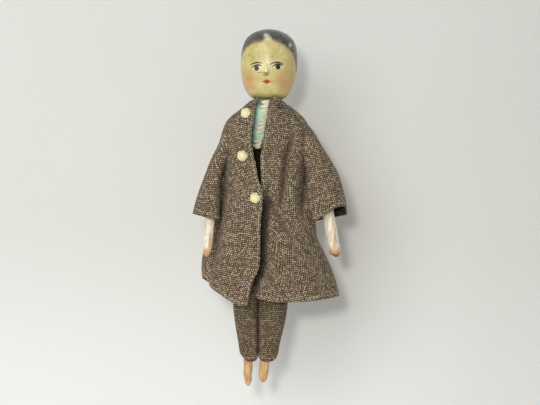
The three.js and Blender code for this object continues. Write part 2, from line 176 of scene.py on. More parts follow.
def sheet_mesh(name, points, closed=False, uvs=None, turned=False):
    """A grid of doll points, rows by columns, as a sheet, or as a tube if its columns close.

    Its rows run down and, seen from the front, its columns run to the right, unless it is turned.
    """
    rows, columns = len(points), len(points[0])
    across = columns if closed else columns - 1
    cells = [(r, c) for r in range(rows - 1) for c in range(across)]
    corners = [((r, c), (r + 1, c), (r + 1, c + 1), (r, c + 1)) for r, c in cells]
    if turned:
        corners = [face[::-1] for face in corners]
    faces = [tuple(r * columns + c % columns for r, c in face) for face in corners]
    vertices = [place(*p) for row in points for p in row]
    corner_uvs = None if uvs is None else [uvs[r][c] for face in corners for r, c in face]
    return new_object(name, vertices, faces, corner_uvs)


def cloth_uvs(points, fall=None, closed=False):
    """Cloth coordinates in centimetres: across from the middle column, and down along each column.

    fall is the way the warp runs in a sleeve, whose rows slant: distances down are then taken that way.
    A tube's seam gets a column of its own, so that the weave isn't squeezed there.
    """
    grid = np.array(points, float)
    if closed:
        grid = np.concatenate([grid, grid[:, :1]], axis=1)
    warp = np.array((0, 0, -1) if fall is None else fall)
    middle = grid.shape[1] // 2
    steps = np.diff(grid, axis=1)
    level = steps - (steps @ warp)[..., None] * warp
    widths = np.cumsum(np.linalg.norm(level, axis=2), axis=1)
    across = np.concatenate([np.zeros((len(grid), 1)), widths], axis=1)
    across -= across[:, middle : middle + 1]
    down = (grid - grid[0, middle]) @ warp
    if fall is None:
        drops = np.linalg.norm(np.diff(grid, axis=0), axis=2)
        down[1:] = down[0] + np.cumsum(drops, axis=0)
    return [list(zip(u / 10, -v / 10)) for u, v in zip(across, down)]


def solid_mesh(name, rings, smooth=True):
    """Closed rings of doll points joined into a solid, with a face over each end."""
    count = len(rings[0])
    faces = []
    for r in range(len(rings) - 1):
        for c in range(count):
            n = (c + 1) % count
            faces.append((r * count + c, r * count + n, (r + 1) * count + n, (r + 1) * count + c))
    faces.append(tuple(reversed(range(count))))
    faces.append(tuple(range((len(rings) - 1) * count, len(rings) * count)))
    thing = new_object(name, [place(*p) for ring in rings for p in ring], faces, smooth=smooth)
    face_outwards(thing)
    return thing


def face_outwards(thing):
    shape = bmesh.new()
    shape.from_mesh(thing.data)
    bmesh.ops.recalc_face_normals(shape, faces=shape.faces)
    shape.to_mesh(thing.data)
    shape.free()


def thicken(thing, thickness, inwards=True):
    """Gives a sheet its cloth's thickness."""
    shell = thing.modifiers.new("thickness", "SOLIDIFY")
    shell.thickness = thickness * MM
    shell.offset = -1 if inwards else 1
    shell.use_even_offset = False


def subdivide(thing):
    smooth = thing.modifiers.new("smooth", "SUBSURF")
    smooth.levels = smooth.render_levels = 1


def join(name, things):
    """Makes one object of several meshes, keeping their cloth coordinates."""
    chosen = dict(active_object=things[0], selected_objects=things, selected_editable_objects=things)
    with bpy.context.temp_override(**chosen):
        bpy.ops.object.join()
    things[0].name = name
    return things[0]


# ---- material formulas


class Tree:
    """A material's node tree, with Field objects for its sockets, so that a formula reads as one."""

    def __init__(self, name):
        self.material = bpy.data.materials.new(name)
        self.material.use_nodes = True
        self.tree = self.material.node_tree
        self.shader = self.tree.nodes["Principled BSDF"]
        self.output = self.tree.nodes["Material Output"]

    def node(self, kind, **settings):
        made = self.tree.nodes.new(kind)
        for key, value in settings.items():
            setattr(made, key, value)
        return made

    def feed(self, socket, value):
        if isinstance(value, Field):
            self.tree.links.new(value.socket, socket)
        elif hasattr(socket.default_value, "__len__") and not hasattr(value, "__len__"):
            socket.default_value = [value] * len(socket.default_value)
        else:
            socket.default_value = value

    def math(self, operation, *values):
        made = self.node("ShaderNodeMath", operation=operation)
        for socket, value in zip(made.inputs, values):
            self.feed(socket, value)
        return Field(self, made.outputs[0])

    def doll_point(self):
        """x, y and h of the doll, in millimetres, as they are at rest."""
        place_node = self.node("ShaderNodeTexCoord")
        parts = self.node("ShaderNodeSeparateXYZ")
        self.tree.links.new(place_node.outputs["Object"], parts.inputs[0])
        x, y, z = (Field(self, parts.outputs[i]) * 1000 for i in range(3))
        return x, y, z - GROUND * 1000

    def cloth_point(self):
        """Cloth coordinates in millimetres, across and along."""
        pin = self.node("ShaderNodeUVMap", uv_map="Cloth")
        parts = self.node("ShaderNodeSeparateXYZ")
        self.tree.links.new(pin.outputs[0], parts.inputs[0])
        return Field(self, parts.outputs[0]) * 10, Field(self, parts.outputs[1]) * 10

    def vector(self, x, y, z=0):
        made = self.node("ShaderNodeCombineXYZ")
        for socket, value in zip(made.inputs, (x, y, z)):
            self.feed(socket, value)
        return Field(self, made.outputs[0])

    def noise(self, at, scale, detail=2, roughness=0.5):
        made = self.node("ShaderNodeTexNoise")
        self.feed(made.inputs["Vector"], self.vector(*at))
        made.inputs["Scale"].default_value = scale
        made.inputs["Detail"].default_value = detail
        made.inputs["Roughness"].default_value = roughness
        return Field(self, made.outputs["Fac"])

    def white_noise(self, at):
        made = self.node("ShaderNodeTexWhiteNoise")
        self.feed(made.inputs["Vector"], self.vector(*at))
        return Field(self, made.outputs["Value"])

    def ease(self, low, high, value):
        made = self.node("ShaderNodeMapRange", interpolation_type="SMOOTHSTEP")
        for socket, number in zip(made.inputs, (value, low, high, 0, 1)):
            self.feed(socket, number)
        return Field(self, made.outputs[0])

    def curve(self, value, points):
        """A value looked up on a smooth curve through (at, value) points."""
        low_at, high_at = points[0][0], points[-1][0]
        low = min(p[1] for p in points)
        high = max(p[1] for p in points)
        made = self.node("ShaderNodeFloatCurve")
        curve = made.mapping.curves[0]
        scaled = [((at - low_at) / (high_at - low_at), (v - low) / (high - low)) for at, v in points]
        curve.points[0].location = scaled[0]
        curve.points[1].location = scaled[-1]
        for at, v in scaled[1:-1]:
            curve.points.new(at, v)
        made.mapping.update()
        self.feed(made.inputs["Value"], (value - low_at) / (high_at - low_at))
        return Field(self, made.outputs[0]) * (high - low) + low

    def mix(self, share, first, second):
        """A colour between two, each a field or a screen colour from 0 to 255."""
        made = self.node("ShaderNodeMix", data_type="RGBA")
        colours = [s for s in made.inputs if s.type == "RGBA"]
        self.feed(made.inputs[0], share)
        for socket, value in zip(colours, (first, second)):
            self.feed(socket, value if isinstance(value, Field) else linear(value))
        return Field(self, next(s for s in made.outputs if s.type == "RGBA"))

    def finish(self, colour, roughness, height=None, relief=0, sheen=0, varnish=0, specular=0.5):
        """Sets the shader. relief is the bump's height in millimetres where height is 1."""
        self.feed(self.shader.inputs["Base Color"], colour)
        self.feed(self.shader.inputs["Roughness"], roughness)
        self.shader.inputs["Sheen Weight"].default_value = sheen
        self.feed(self.shader.inputs["Coat Weight"], varnish)
        self.shader.inputs["Coat Roughness"].default_value = 0.25
        self.feed(self.shader.inputs["Specular IOR Level"], specular)
        if height is not None:
            bump = self.node("ShaderNodeBump")
            bump.inputs["Strength"].default_value = 1
            bump.inputs["Distance"].default_value = relief * MM
            self.feed(bump.inputs["Height"], height)
            self.tree.links.new(bump.outputs[0], self.shader.inputs["Normal"])
        return self.material


class Field:
    """A number or colour that varies over a surface."""

    def __init__(self, tree, socket):
        self.tree = tree
        self.socket = socket

    def __add__(self, other):
        return self.tree.math("ADD", self, other)

    def __sub__(self, other):
        return self.tree.math("SUBTRACT", self, other)

    def __mul__(self, other):
        return self.tree.math("MULTIPLY", self, other)

    def __truediv__(self, other):
        return self.tree.math("DIVIDE", self, other)

    def __rsub__(self, other):
        return self.tree.math("SUBTRACT", other, self)

    def __abs__(self):
        return self.tree.math("ABSOLUTE", self)

    __radd__ = __add__
    __rmul__ = __mul__

    def root(self):
        return self.tree.math("SQRT", self)

    def floor(self):
        return self.tree.math("FLOOR", self)

    def sine(self):
        return self.tree.math("SINE", self)

    def at_least(self, other):
        return self.tree.math("MAXIMUM", self, other)


def linear(colour):
    """A screen colour as the shader's linear one."""
    shares = [c / 255 for c in colour]
    return (*(c / 12.92 if c <= 0.04045 else ((c + 0.055) / 1.055) ** 2.4 for c in shares), 1)


# ---- materials

THREAD = 0.8  # millimetres from one tweed thread to the next
# the edge of the coat's right front, which laps over the left: height and x
LAP_EDGE = (
    (30, -6.2), (34.2, -5.1), (44.3, -2.8), (53.1, -0.2), (61.9, -0.3), (70.6, -0.5), (76.8, 0), (82.8, -0.2),
    (87.4, -2), (94.4, -3.7), (101.4, -5.3), (107.4, -5.9), (113.1, -5.1), (122.7, -4.8),
)


def tweed(name, light, middle, dark, lap=None):
    """Plain-woven tweed: a pale fleck where a weft thread is on top, brown warp between, reddish patches.

    lap is the edge, as (height, x) points, of a piece that lies over this one; beside it the cloth gets a
    painted shade, the shadow of the lapping edge.
    """
    t = Tree(name)
    u, v = t.cloth_point()
    wander = (t.noise((u, v), 0.12) - 0.5) * 3
    along = (v + wander * 0.6) / THREAD
    row = along.floor()
    across = (u + wander) / THREAD + row * 0.5
    column = across.floor()
    in_row = abs(along - row - 0.5) * 2
    in_column = abs(across - column - 0.5) * 2
    cell = t.white_noise((column, row))
    size = 0.42 + cell * 0.3
    fleck = 1 - t.ease(size - 0.2, size + 0.2, (in_row * in_row + in_column * in_column).root())
    patch = t.ease(0.45, 0.7, t.noise((u, v, 4), 0.11, 3))
    pink = t.ease(0.6, 0.8, t.white_noise((column, row, 7)))
    yarn = t.noise((u * 2.5, v * 2.5), 0.8, 3)
    ground = t.mix(t.ease(0.3, 0.7, yarn), dark, middle)
    ground = t.mix(patch * 0.25, ground, (112, 82, 66))
    pale = t.mix(pink * 0.35, light, (200, 166, 146))
    weft = t.mix(0.35 + cell * 0.65, middle, pale)
    finished = t.mix(fleck, ground, weft)
    if lap:
        x, y, h = t.doll_point()
        # painted shade: a dark strip beside the lap's edge, on the front and below about 80 mm up, where the
        # lapping piece shades the cloth
        beside = 1 - t.ease(1, 4.4, x - t.curve(h, lap))
        darker = beside * t.ease(0, 2, y * -1) * (1 - t.ease(77, 83, h))
        finished = t.mix(darker * 0.82, finished, (34, 29, 23))
    fibres = t.noise((u * 8, v * 8), 1, 4, 0.7)
    height = fleck * 0.8 + fibres * 0.3
    return t.finish(finished, 0.95, height, relief=0.18, sheen=0.06, specular=0.1)


def cotton_threads(t, pitch):
    """Crossed threads and a little soiling."""
    u, v = t.cloth_point()
    weave = (u * (math.tau / pitch)).sine() * (v * (math.tau / pitch)).sine()
    return weave, t.noise((u, v), 0.5, 4)


def lace_cotton(name, base, shade):
    t = Tree(name)
    weave, soil = cotton_threads(t, 0.6)
    finished = t.mix(t.ease(0.35, 0.75, soil) * 0.7 + weave * 0.12, base, shade)
    return t.finish(finished, 0.9, weave, relief=0.06, sheen=0.2, specular=0.2)


def shirt_cotton(name):
    """Mint cotton, pale on the chest. Beside the coat's edge, under the chin and towards the bottom it turns
    a darker blue-green, partly the cotton's own tone and partly painted shade, and its lower end goes near
    black as painted shade.
    """
    t = Tree(name)
    x, y, h = t.doll_point()
    weave, soil = cotton_threads(t, 0.45)
    # the darker blue-green: partly the cotton's own tone, partly painted shade beside the coat's edge, under
    # the chin and near the bottom
    teal_and_shade = (1 - t.ease(-5.6, -3.2, x)).at_least(t.ease(116.5, 121, h)).at_least(1 - t.ease(101, 107, h))
    cotton = t.mix(t.ease(0.35, 0.75, soil) * 0.6 + weave * 0.12, (196, 236, 214), (150, 192, 164))
    finished = t.mix(teal_and_shade * (0.55 + soil * 0.5), cotton, (62, 92, 74))
    # painted shade: the shirt's lower end darkens to near black where it goes in under the coat
    finished = t.mix((1 - t.ease(101.5, 104.5, h)) * 0.9, finished, (20, 24, 20))
    return t.finish(finished, 0.9, weave, relief=0.05, sheen=0.2, specular=0.2)


def thread_material(name, base, shade, low=0.2, high=0.8):
    """Twisted thread. The shade shows where the noise is between low and high, or above."""
    t = Tree(name)
    x, y, h = t.doll_point()
    finished = t.mix(t.ease(low, high, t.noise((x, y, h), 2, 3)), base, shade)
    return t.finish(finished, 0.85, t.noise((x, y, h), 6), relief=0.05, sheen=0.2)


def wood(name, pale, deep, stain, stain_amount):
    """Bare whittled wood: grain along the limb, a few darker streaks and worn, reddish stains."""
    t = Tree(name)
    x, y, h = t.doll_point()
    grain = t.noise((x * 2.2, y * 2.2, h * 0.22), 1, 5, 0.6)
    pores = t.noise((x * 9, y * 9, h * 0.7), 1, 2)
    blotch = t.noise((x, y, h * 0.6), 0.42, 3)
    finished = t.mix(t.ease(0.3, 0.72, grain), pale, deep)
    finished = t.mix(t.ease(0.5, 0.7, blotch) * stain_amount, finished, stain)
    finished = t.mix(t.ease(0.62, 0.75, pores) * 0.35, finished, (120, 84, 50))
    return t.finish(finished, 0.55 + grain * 0.2, grain * 0.6 + pores * 0.4, relief=0.1, varnish=0.05)


def worn_paint(name, tip, tan_side, end_colour):
    """Cream paint rubbed through along the grain and off at the tip, with one long worn patch up a side."""
    t = Tree(name)
    x, y, h = t.doll_point()
    streak = t.noise((x * 1.7, y * 1.7, h * 0.16), 1, 5, 0.65)
    chips = t.noise((x, y, h * 0.5), 1.6, 4)
    bare = t.ease(0.53, 0.6, streak) * 0.6
    bare = bare.at_least(t.ease(0.6, 0.66, chips) * 0.65)
    patch = spot(t, x, h, (tip[0] + tan_side, tip[1] + 5), (0.8, 5.5), soft=0.45)
    bare = bare.at_least(patch * 0.75)
    above_tip = h - tip[1] + streak * 3 - chips * 4
    bare = bare.at_least(1 - t.ease(1.5, 4.5, above_tip))
    paint = t.mix(t.noise((x, y, h), 0.5, 4), (255, 250, 234), (236, 220, 190))
    under = t.mix(streak, (214, 172, 122), (184, 136, 88))
    finished = t.mix(bare, paint, under)
    finished = t.mix((1 - t.ease(-0.5, 1.6, above_tip)) * 0.85, finished, end_colour)
    return t.finish(finished, 0.5 + chips * 0.2, 1 - bare, relief=0.08, varnish=0.05)


def button_material(name):
    t = Tree(name)
    x, y, h = t.doll_point()
    cloud = t.noise((x, y, h), 0.55, 4)
    finished = t.mix(cloud, (252, 246, 200), (232, 218, 158))
    grime = t.ease(0.55, 0.75, t.noise((x, y, h), 1.4, 3))
    finished = t.mix(grime * 0.35, finished, (150, 124, 82))
    return t.finish(finished, 0.3 + grime * 0.2, cloud, relief=0.05, varnish=0.3)


# ---- the painted head

FACE = {
    "middle": -1,
    "eyes": ((-5.1, 134.85), (3.9, 135.75)),
    "eye_paint": ((58, 52, 72), (22, 18, 16)),
    "lids": (((-7.5, 134.9), (-5.6, 136.1), (-3, 135.95)), ((1.2, 135.6), (3.4, 136.85), (6.1, 136.4))),
    "brows": (((-8.1, 136), (-5.9, 137.15), (-2.8, 136.95)), ((0.1, 136.3), (3, 137.7), (6.4, 137))),
    "mouth": (-0.6, 129.45),
    "cheeks": ((-8.7, 129.3), (6.7, 129.8)),
    "specks": ((-2.2, 141.7), (1.1, 139.9), (-8.3, 140.3), (-6.9, 139.5), (2.6, 142.8), (5.2, 141.1)),
}
# the painted hair's edge: its height at an angle round the head from the front, the doll's left positive
HAIRLINE = (
    (-180, 129), (-120, 131.5), (-95, 136), (-77, 140), (-62, 142.2), (-49, 144), (-32, 145.4), (-16, 145.9),
    (-6, 147.5), (0, 148), (8, 147.1), (27, 145.7), (42, 144.2), (57, 141.9), (67, 139), (75, 134.8),
    (90, 132.5), (130, 130), (180, 129),
)


def spot(t, x, h, centre, size, soft=0.2, power=2):
    """1 inside an ellipse, or a diamond at power 1, and 0 outside."""
    across = abs(x - centre[0]) / size[0]
    up = abs(h - centre[1]) / size[1]
    reach = (across * across + up * up).root() if power == 2 else across + up
    return 1 - t.ease(1 - soft, 1 + soft, reach)


def stroke(t, x, h, points, width, soft=0.25):
    """1 on a brush stroke that arches through three points and thins at both ends."""
    (x0, h0), (x1, h1), (x2, h2) = points
    half = (x2 - x0) / 2
    middle = (x0 + x2) / 2
    along = (x - middle) / half
    chord = h0 + (h2 - h0) * (x1 - x0) / (x2 - x0)
    rise = h1 - chord
    line = (h0 + h2) / 2 + along * ((h2 - h0) / 2) + (1 - along * along) * rise
    thin = (1 - along * along * 0.7).at_least(0.05) * width
    on_line = 1 - t.ease(1 - soft, 1 + soft, abs(h - line) / thin)
    return on_line * (1 - t.ease(0.9, 1.05, abs(along)))


def painted_eyes(t, x, h, front, skin):
    """Brows, lids and pupils in dark paint, with a pale rim round each eye."""
    ink = (30, 22, 16)
    for eye, paint, lid, brow in zip(FACE["eyes"], FACE["eye_paint"], FACE["lids"], FACE["brows"]):
        rim = spot(t, x, h, (eye[0], eye[1] + 0.9), (2.9, 1.9), soft=0.35) * front
        skin = t.mix(rim * 0.5, skin, (238, 230, 176))
        skin = t.mix(spot(t, x, h, eye, (1, 1.05), soft=0.2) * front, skin, paint)
        skin = t.mix(stroke(t, x, h, lid, 0.42) * front * 0.95, skin, ink)
        skin = t.mix(stroke(t, x, h, brow, 0.38) * front * 0.92, skin, ink)
    return skin


def painted_nose(t, x, h, front, skin):
    """A painted highlight on the pale ridge of the nose, over its brown underside, which is partly paint and
    partly painted shade.
    """
    middle = FACE["middle"]
    # painted highlight: cream on the ridge, down to the tip
    ridge = spot(t, x, h, (middle, 134.1), (0.8, 2.7), soft=0.35, power=1) * t.ease(133.2, 133.6, h) * front
    skin = t.mix(ridge, skin, (250, 242, 200))
    # the brown underside: partly its paint, partly painted shade under the nose
    under = spot(t, x, h, (middle - 0.1, 132.5), (1.3, 0.8), soft=0.5) * front
    skin = t.mix(under * 0.7, skin, (160, 104, 58))
    line = spot(t, x, h, (middle - 2.7, 133.1), (1.7, 0.2), soft=0.6) * front
    return t.mix(line * 0.6, skin, (128, 88, 44))


def painted_lips(t, x, h, front, skin):
    lips = spot(t, x, h, FACE["mouth"], (2.2, 1), soft=0.16, power=1) * front
    middle_of_lips = spot(t, x, h, FACE["mouth"], (1.3, 1), soft=0.5, power=1)
    return t.mix(lips, skin, t.mix(middle_of_lips, (206, 88, 60), (156, 34, 20)))


def painted_skin(t, at, front, streak):
    """Yellowed flesh paint with a painted shade on the doll's left side and under the chin, rouged cheeks and
    brown specks.
    """
    x, y, h = at
    skin = t.mix(t.ease(0.3, 0.7, t.noise(at, 0.22, 4)), (216, 203, 137), (197, 181, 112))
    skin = t.mix(t.ease(0.5, 0.75, streak) * 0.45, skin, (180, 156, 84))
    # painted shade: browner towards the doll's left side of the face
    skin = t.mix(t.ease(6, 12.5, x) * 0.35, skin, (178, 158, 88))
    # painted shade: darker and greener under the chin
    skin = t.mix((1 - t.ease(121, 125.5, h)) * 0.55, skin, (142, 128, 56))
    for cheek in FACE["cheeks"]:
        rouge = spot(t, x, h, cheek, (3, 4.4), soft=0.8) * (0.3 + streak * 0.7)
        skin = t.mix(rouge * front * 0.8, skin, (204, 126, 96))
    for speck in FACE["specks"]:
        skin = t.mix(spot(t, x, h, speck, (0.42, 0.3), soft=0.6) * front * 0.45, skin, (118, 94, 50))
    specks = t.ease(0.66, 0.74, t.noise(at, 1.7, 2)) * t.ease(137, 142, h)
    return t.mix(specks * 0.4, skin, (128, 104, 58))


def painted_hair(t, at, front, skin):
    """The skin with worn dark hair over it (its pale crown spots partly a painted highlight), where the hair
    is, and the patches in it.
    """
    x, y, h = at
    turn = t.math("ARCTAN2", x - FACE["middle"], y * -1) * (180 / math.pi)
    above = h - t.curve(turn, HAIRLINE)
    ragged = (t.noise(at, 0.9, 3) - 0.5) * 1.6
    hair = t.ease(-0.5, 0.75, above + ragged)
    thin = 1 - t.ease(0.2, 2.4, above + ragged * 2)
    patches = t.noise((x, y, h * 0.7), 0.8, 5, 0.7)
    paint = t.mix(t.ease(0.35, 0.65, patches), (44, 44, 40), (88, 88, 80))
    paint = t.mix(t.ease(0.57, 0.66, t.noise(at, 1.8, 4, 0.7)) * 0.5, paint, (190, 186, 160))
    paint = t.mix(thin * 0.45, paint, (172, 168, 128))
    # pale spots near the crown: partly rubbed-off paint, partly a painted highlight where the varnish shines
    worn = spot(t, x + (h - 149) * 0.4, h, (-1.4, 148.4), (1.4, 1.7), soft=0.5) * front
    worn = worn.at_least(spot(t, x, h, (8.6, 145.6), (0.55, 0.9), soft=0.6) * front)
    worn = worn * t.ease(0.4, 0.56, t.noise(at, 1.3, 3, 0.6))
    return t.mix(worn * 0.85, t.mix(hair, skin, paint), (240, 236, 214)), hair, patches


def head_material(name):
    """Varnish over the painted head, and a dull trunk below it, its bare wood darkened to near black as
    painted shade.
    """
    t = Tree(name)
    at = x, y, h = t.doll_point()
    front = t.ease(-1, 1, y * -1)
    streak = t.noise((x * 1.6, y * 1.6, h * 0.22), 0.9, 4)
    skin = painted_skin(t, at, front, streak)
    for feature in (painted_eyes, painted_nose, painted_lips):
        skin = feature(t, x, h, front, skin)
    finished, hair, patches = painted_hair(t, at, front, skin)
    # painted shade: the trunk's bare wood is darkened to near black where it shows in the gap under the
    # clothes
    trunk = 1 - t.ease(119, 120.5, h)
    finished = t.mix(trunk, finished, t.mix(streak, (44, 34, 26), (28, 22, 18)))
    height = hair * 0.5 + streak * 0.3 + patches * 0.3
    roughness = 0.34 + streak * 0.16 + trunk * 0.5
    varnish, specular = (1 - trunk) * 0.35, (1 - trunk) * 0.4 + 0.1
    return t.finish(finished, roughness, height, relief=0.1, varnish=varnish, specular=specular)


COAT_YARNS = ((222, 204, 172), (104, 88, 70), (44, 35, 27))
MATERIALS = {
    "coat": tweed("coat_tweed", *COAT_YARNS),
    "coat_under_lap": tweed("coat_tweed_under_lap", *COAT_YARNS, lap=LAP_EDGE),
    "trousers": tweed("trouser_tweed", (182, 166, 136), (96, 82, 64), (48, 40, 30)),
    # painted shade: the wrong side is a much darker tweed, standing in for the shade inside the coat, sleeves
    # and trousers
    "shaded_wrong_side": tweed("tweed_wrong_side_painted_shade", (70, 62, 50), (44, 37, 30), (24, 20, 16)),
    "shirt": shirt_cotton("mint_cotton"),
    "lace": lace_cotton("cream_lace", (255, 253, 224), (250, 238, 184)),
    "stitch": thread_material("pale_thread", (226, 210, 184), (186, 166, 140)),
    # the knot's pale second colour is painted highlight: glints on the dark thread
    "knot": thread_material("dark_thread", (38, 38, 34), (196, 208, 190), 0.56, 0.62),
    "wood": wood("whittled_wood", (222, 184, 130), (190, 146, 92), (176, 96, 62), 0.3),
    "feet": wood("foot_wood", (226, 188, 134), (188, 144, 92), (178, 96, 64), 0.6),
    "hand_right": worn_paint("hand_paint_right", (-22.9, 54.4), 1.2, (206, 138, 88)),
    "hand_left": worn_paint("hand_paint_left", (31.6, 56.5), -0.6, (92, 56, 26)),
    "button": button_material("cream_button"),
    "head": head_material("painted_head"),
}


def line_inside(thing, material):
    """Gives the wrong side of a thickened cloth a material of its own: a darker tweed, as painted shade
    inside the cloth.
    """
    thing.data.materials.append(MATERIALS[material])
    thing.modifiers["thickness"].material_offset = 1


def repaint(thing, material):
    thing.data.materials.clear()
    thing.data.materials.append(MATERIALS[material])


def dress(thing, material):
    repaint(thing, material)


def settle(thing, material, body, node):
    """Dresses a piece that rides on one body in the place of a CAD node."""
    dress(thing, material)
    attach(thing, body)
    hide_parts(node)


def tweed_piece(name, points, material, thickness, bodies, fall=None, closed=True):
    """A sheet or tube of tweed with a darker tweed as painted shade on its wrong side. bodies is not used."""
    uvs = cloth_uvs(points, fall=fall, closed=closed)
    cloth = sheet_mesh(name, points, closed=closed, uvs=uvs, turned="right" in name)
    thicken(cloth, thickness, inwards=closed)
    subdivide(cloth)
    dress(cloth, material)
    line_inside(cloth, "shaded_wrong_side")
    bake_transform(cloth)
    return cloth


# ---- head and body

HEAD_WIDTH = Curve(
    (121, 0), (121.4, 2.6), (122.1, 4.8), (123.1, 7), (124.4, 8.5), (125.8, 9.4), (128, 10.45), (131.3, 11.4),
    (135, 12.05), (138, 12.15), (142.2, 11.9), (144.9, 11.4), (147.6, 10.35), (149.2, 9), (150.4, 7.5),
    (151.4, 5.4), (152.1, 3.2), (152.5, 0),
)
HEAD_DEPTH = 0.94
HEAD_ENDS = (121.02, 152.48)
HEAD_RINGS = 80
HEAD_SIDES = 96
TRUNK_WIDTH = Curve(
    (68.2, 8.8), (75, 9.4), (84, 8), (99, 10), (105, 10.9), (112, 10.9), (117.2, 8), (118.8, 3.8),
    (122.5, 3.8),
)
TRUNK_DEPTH = 5.4
TRUNK_SIDES = 40


def make_head():
    """The egg-shaped head, fine enough for its silhouette, and the turned trunk under the clothes."""
    rings = []
    low, high = HEAD_ENDS
    for i in range(HEAD_RINGS + 1):
        height = low + (high - low) * (1 - math.cos(math.pi * i / HEAD_RINGS)) / 2
        width = HEAD_WIDTH(height)
        rings.append(ellipse(width, width * HEAD_DEPTH, height, HEAD_SIDES))
    head = solid_mesh("head_part", rings)
    rings = []
    for height in np.linspace(68.2, 122.5, 40):
        width = TRUNK_WIDTH(height)
        rings.append(ellipse(width, min(TRUNK_DEPTH, width * 0.9), height, TRUNK_SIDES))
    trunk = solid_mesh("trunk_part", rings)
    settle(join("head_and_trunk", [head, trunk]), "head", "torso", "head_and_torso")


NOSE_REACH = Curve((131.9, 0.05), (132.6, 0.9), (133.3, 1.75), (133.8, 1.8), (135.2, 1.05), (137.1, 0.05))
NOSE_HALF_WIDTH = Curve((131.9, 1.1), (133.3, 1), (135.2, 0.6), (137.1, 0.3))


def make_nose():
    """A small wedge: a ridge that widens and stands out down to its tip, and a sloping underside."""
    middle = FACE["middle"]
    rings = []
    for height in np.linspace(137.1, 131.9, 22):
        face = -HEAD_WIDTH(height) * HEAD_DEPTH
        out = NOSE_REACH(height)
        half = NOSE_HALF_WIDTH(height)
        ring = []
        for a in np.linspace(0, math.pi, 11):
            ring.append((middle - half * math.cos(a), face + 0.5 - (out + 0.5) * math.sin(a) ** 0.8, height))
        ring.append((middle + half, face + 1.2, height))
        ring.append((middle - half, face + 1.2, height))
        rings.append(ring)
    settle(solid_mesh("wedge_nose", rings), "head", "torso", "nose")


# ---- whittled limbs

WORN_EDGE = 0.28
TAPER_END = 0.84  # the share of a stick's length where its tip begins


def whittled(name, start, end, width, sides, seed, taper, tip):
    """A stick pared with a knife: uneven flats along it, and a tip cut to a blunt or sharp point."""
    rng = random.Random(seed)
    flats = [1 + rng.uniform(-0.07, 0.07) for _ in range(sides)]
    turn = rng.uniform(0, math.tau)
    start, end = np.array(start, float), np.array(end, float)
    stations = [0, 0.12, 0.3, 0.5, 0.7, TAPER_END] + [s for s, _ in tip]
    rings = []
    for s in stations:
        size = taper(s) if s <= TAPER_END else dict(tip)[s]
        centre = start + (end - start) * s
        wobble = rng.uniform(-0.12, 0.12)
        ring = []
        for flat, angle in zip(flats, around(sides)):
            radius = width / 2 * size * (flat + rng.uniform(-0.03, 0.03))
            x = centre[0] + wobble + radius * math.cos(turn + angle)
            ring.append((x, centre[1] + radius * math.sin(turn + angle), centre[2]))
        rings.append(ring)
    stick = solid_mesh(name, rings, smooth=False)
    bevel = stick.modifiers.new("worn_edges", "BEVEL")
    bevel.width = WORN_EDGE * MM
    bevel.segments = 3
    bevel.limit_method = "ANGLE"
    bevel.angle_limit = math.radians(12)
    return stick


HANDS = {
    "right": dict(start=(-21.7, -2.3, 81), end=(-22.9, -7.5, 54.4), width=4.25, sides=9, seed=4),
    "left": dict(start=(26.2, -1.2, 82.5), end=(31.9, -3, 56.5), width=5.5, sides=7, seed=11),
}
FEET = {
    "right": dict(start=(-4.45, -0.1, 30), end=(-3.2, -1.2, 0), width=3.9, sides=9, seed=21),
    "left": dict(start=(4.4, -0.1, 30), end=(3.1, -1.2, 1.8), width=4.4, sides=9, seed=32),
}
HAND_TAPER = Curve((0, 1.02), (0.5, 1), (TAPER_END, 0.94))
FOOT_TAPER = Curve((0, 1.15), (0.5, 1.05), (TAPER_END, 0.96))
ROUND_TIP = [(0.92, 0.86), (0.965, 0.68), (0.99, 0.4), (1, 0.16)]
SHARP_TIP = [(0.91, 0.97), (0.945, 0.9), (0.978, 0.5), (1, 0.18)]


def make_limbs():
    for name in SIDES:
        tip = ROUND_TIP if name == "right" else SHARP_TIP
        hand = whittled(f"hand_{name}", taper=HAND_TAPER, tip=tip, **HANDS[name])
        settle(hand, f"hand_{name}", f"forearm_{name}", f"forearm_{name}")
        foot = whittled(f"foot_{name}", taper=FOOT_TAPER, tip=ROUND_TIP, **FEET[name])
        settle(foot, "feet", f"lower_leg_{name}", f"lower_leg_{name}")


def repaint_kept_nodes():
    """The CAD nodes that stay visible get the finished materials."""
    kept = {"shoulder_peg": "wood", "hip_peg": "wood"}
    for name in SIDES:
        kept |= {f"{part}_{name}": "wood" for part in ("upper_arm", "elbow_peg", "thigh", "knee_peg")}
    kept |= {f"button_thread_{which}": "stitch" for which in ("top", "middle", "bottom")}
    for node, material in kept.items():
        repaint(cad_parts[node], material)


# ---- stitches

STITCH = 0.95
STITCH_GAP = 0.75
STITCH_RADIUS = 0.18
STITCH_SIDES = 6
STITCH_RINGS = 6


def stitch_line(name, path, bodies, lift=0, closed=False):
    """Running stitches along a path of doll points. bodies is not used."""
    path = np.array(list(path) + ([path[0]] if closed else []), float)
    run = np.concatenate([[0], np.cumsum(np.linalg.norm(np.diff(path, axis=0), axis=1))])
    middle = path.mean(axis=0) if closed else np.array((0, 2, 0))
    vertices, faces = [], []
    at = STITCH_GAP
    while at + STITCH < run[-1]:
        first, last = (np.array([np.interp(d, run, path[:, k]) for k in range(3)]) for d in (at, at + STITCH))
        way = (last - first) / np.linalg.norm(last - first)
        out = ((first + last) / 2 - middle) * (1, 1, 0)
        out = out / np.linalg.norm(out)
        side = np.cross(way, out)
        add_stitch(vertices, faces, first + out * lift, last + out * lift, side / np.linalg.norm(side), out)
        at += STITCH + STITCH_GAP
    stitches = new_object(name, vertices, faces)
    face_outwards(stitches)
    dress(stitches, "stitch")
    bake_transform(stitches)


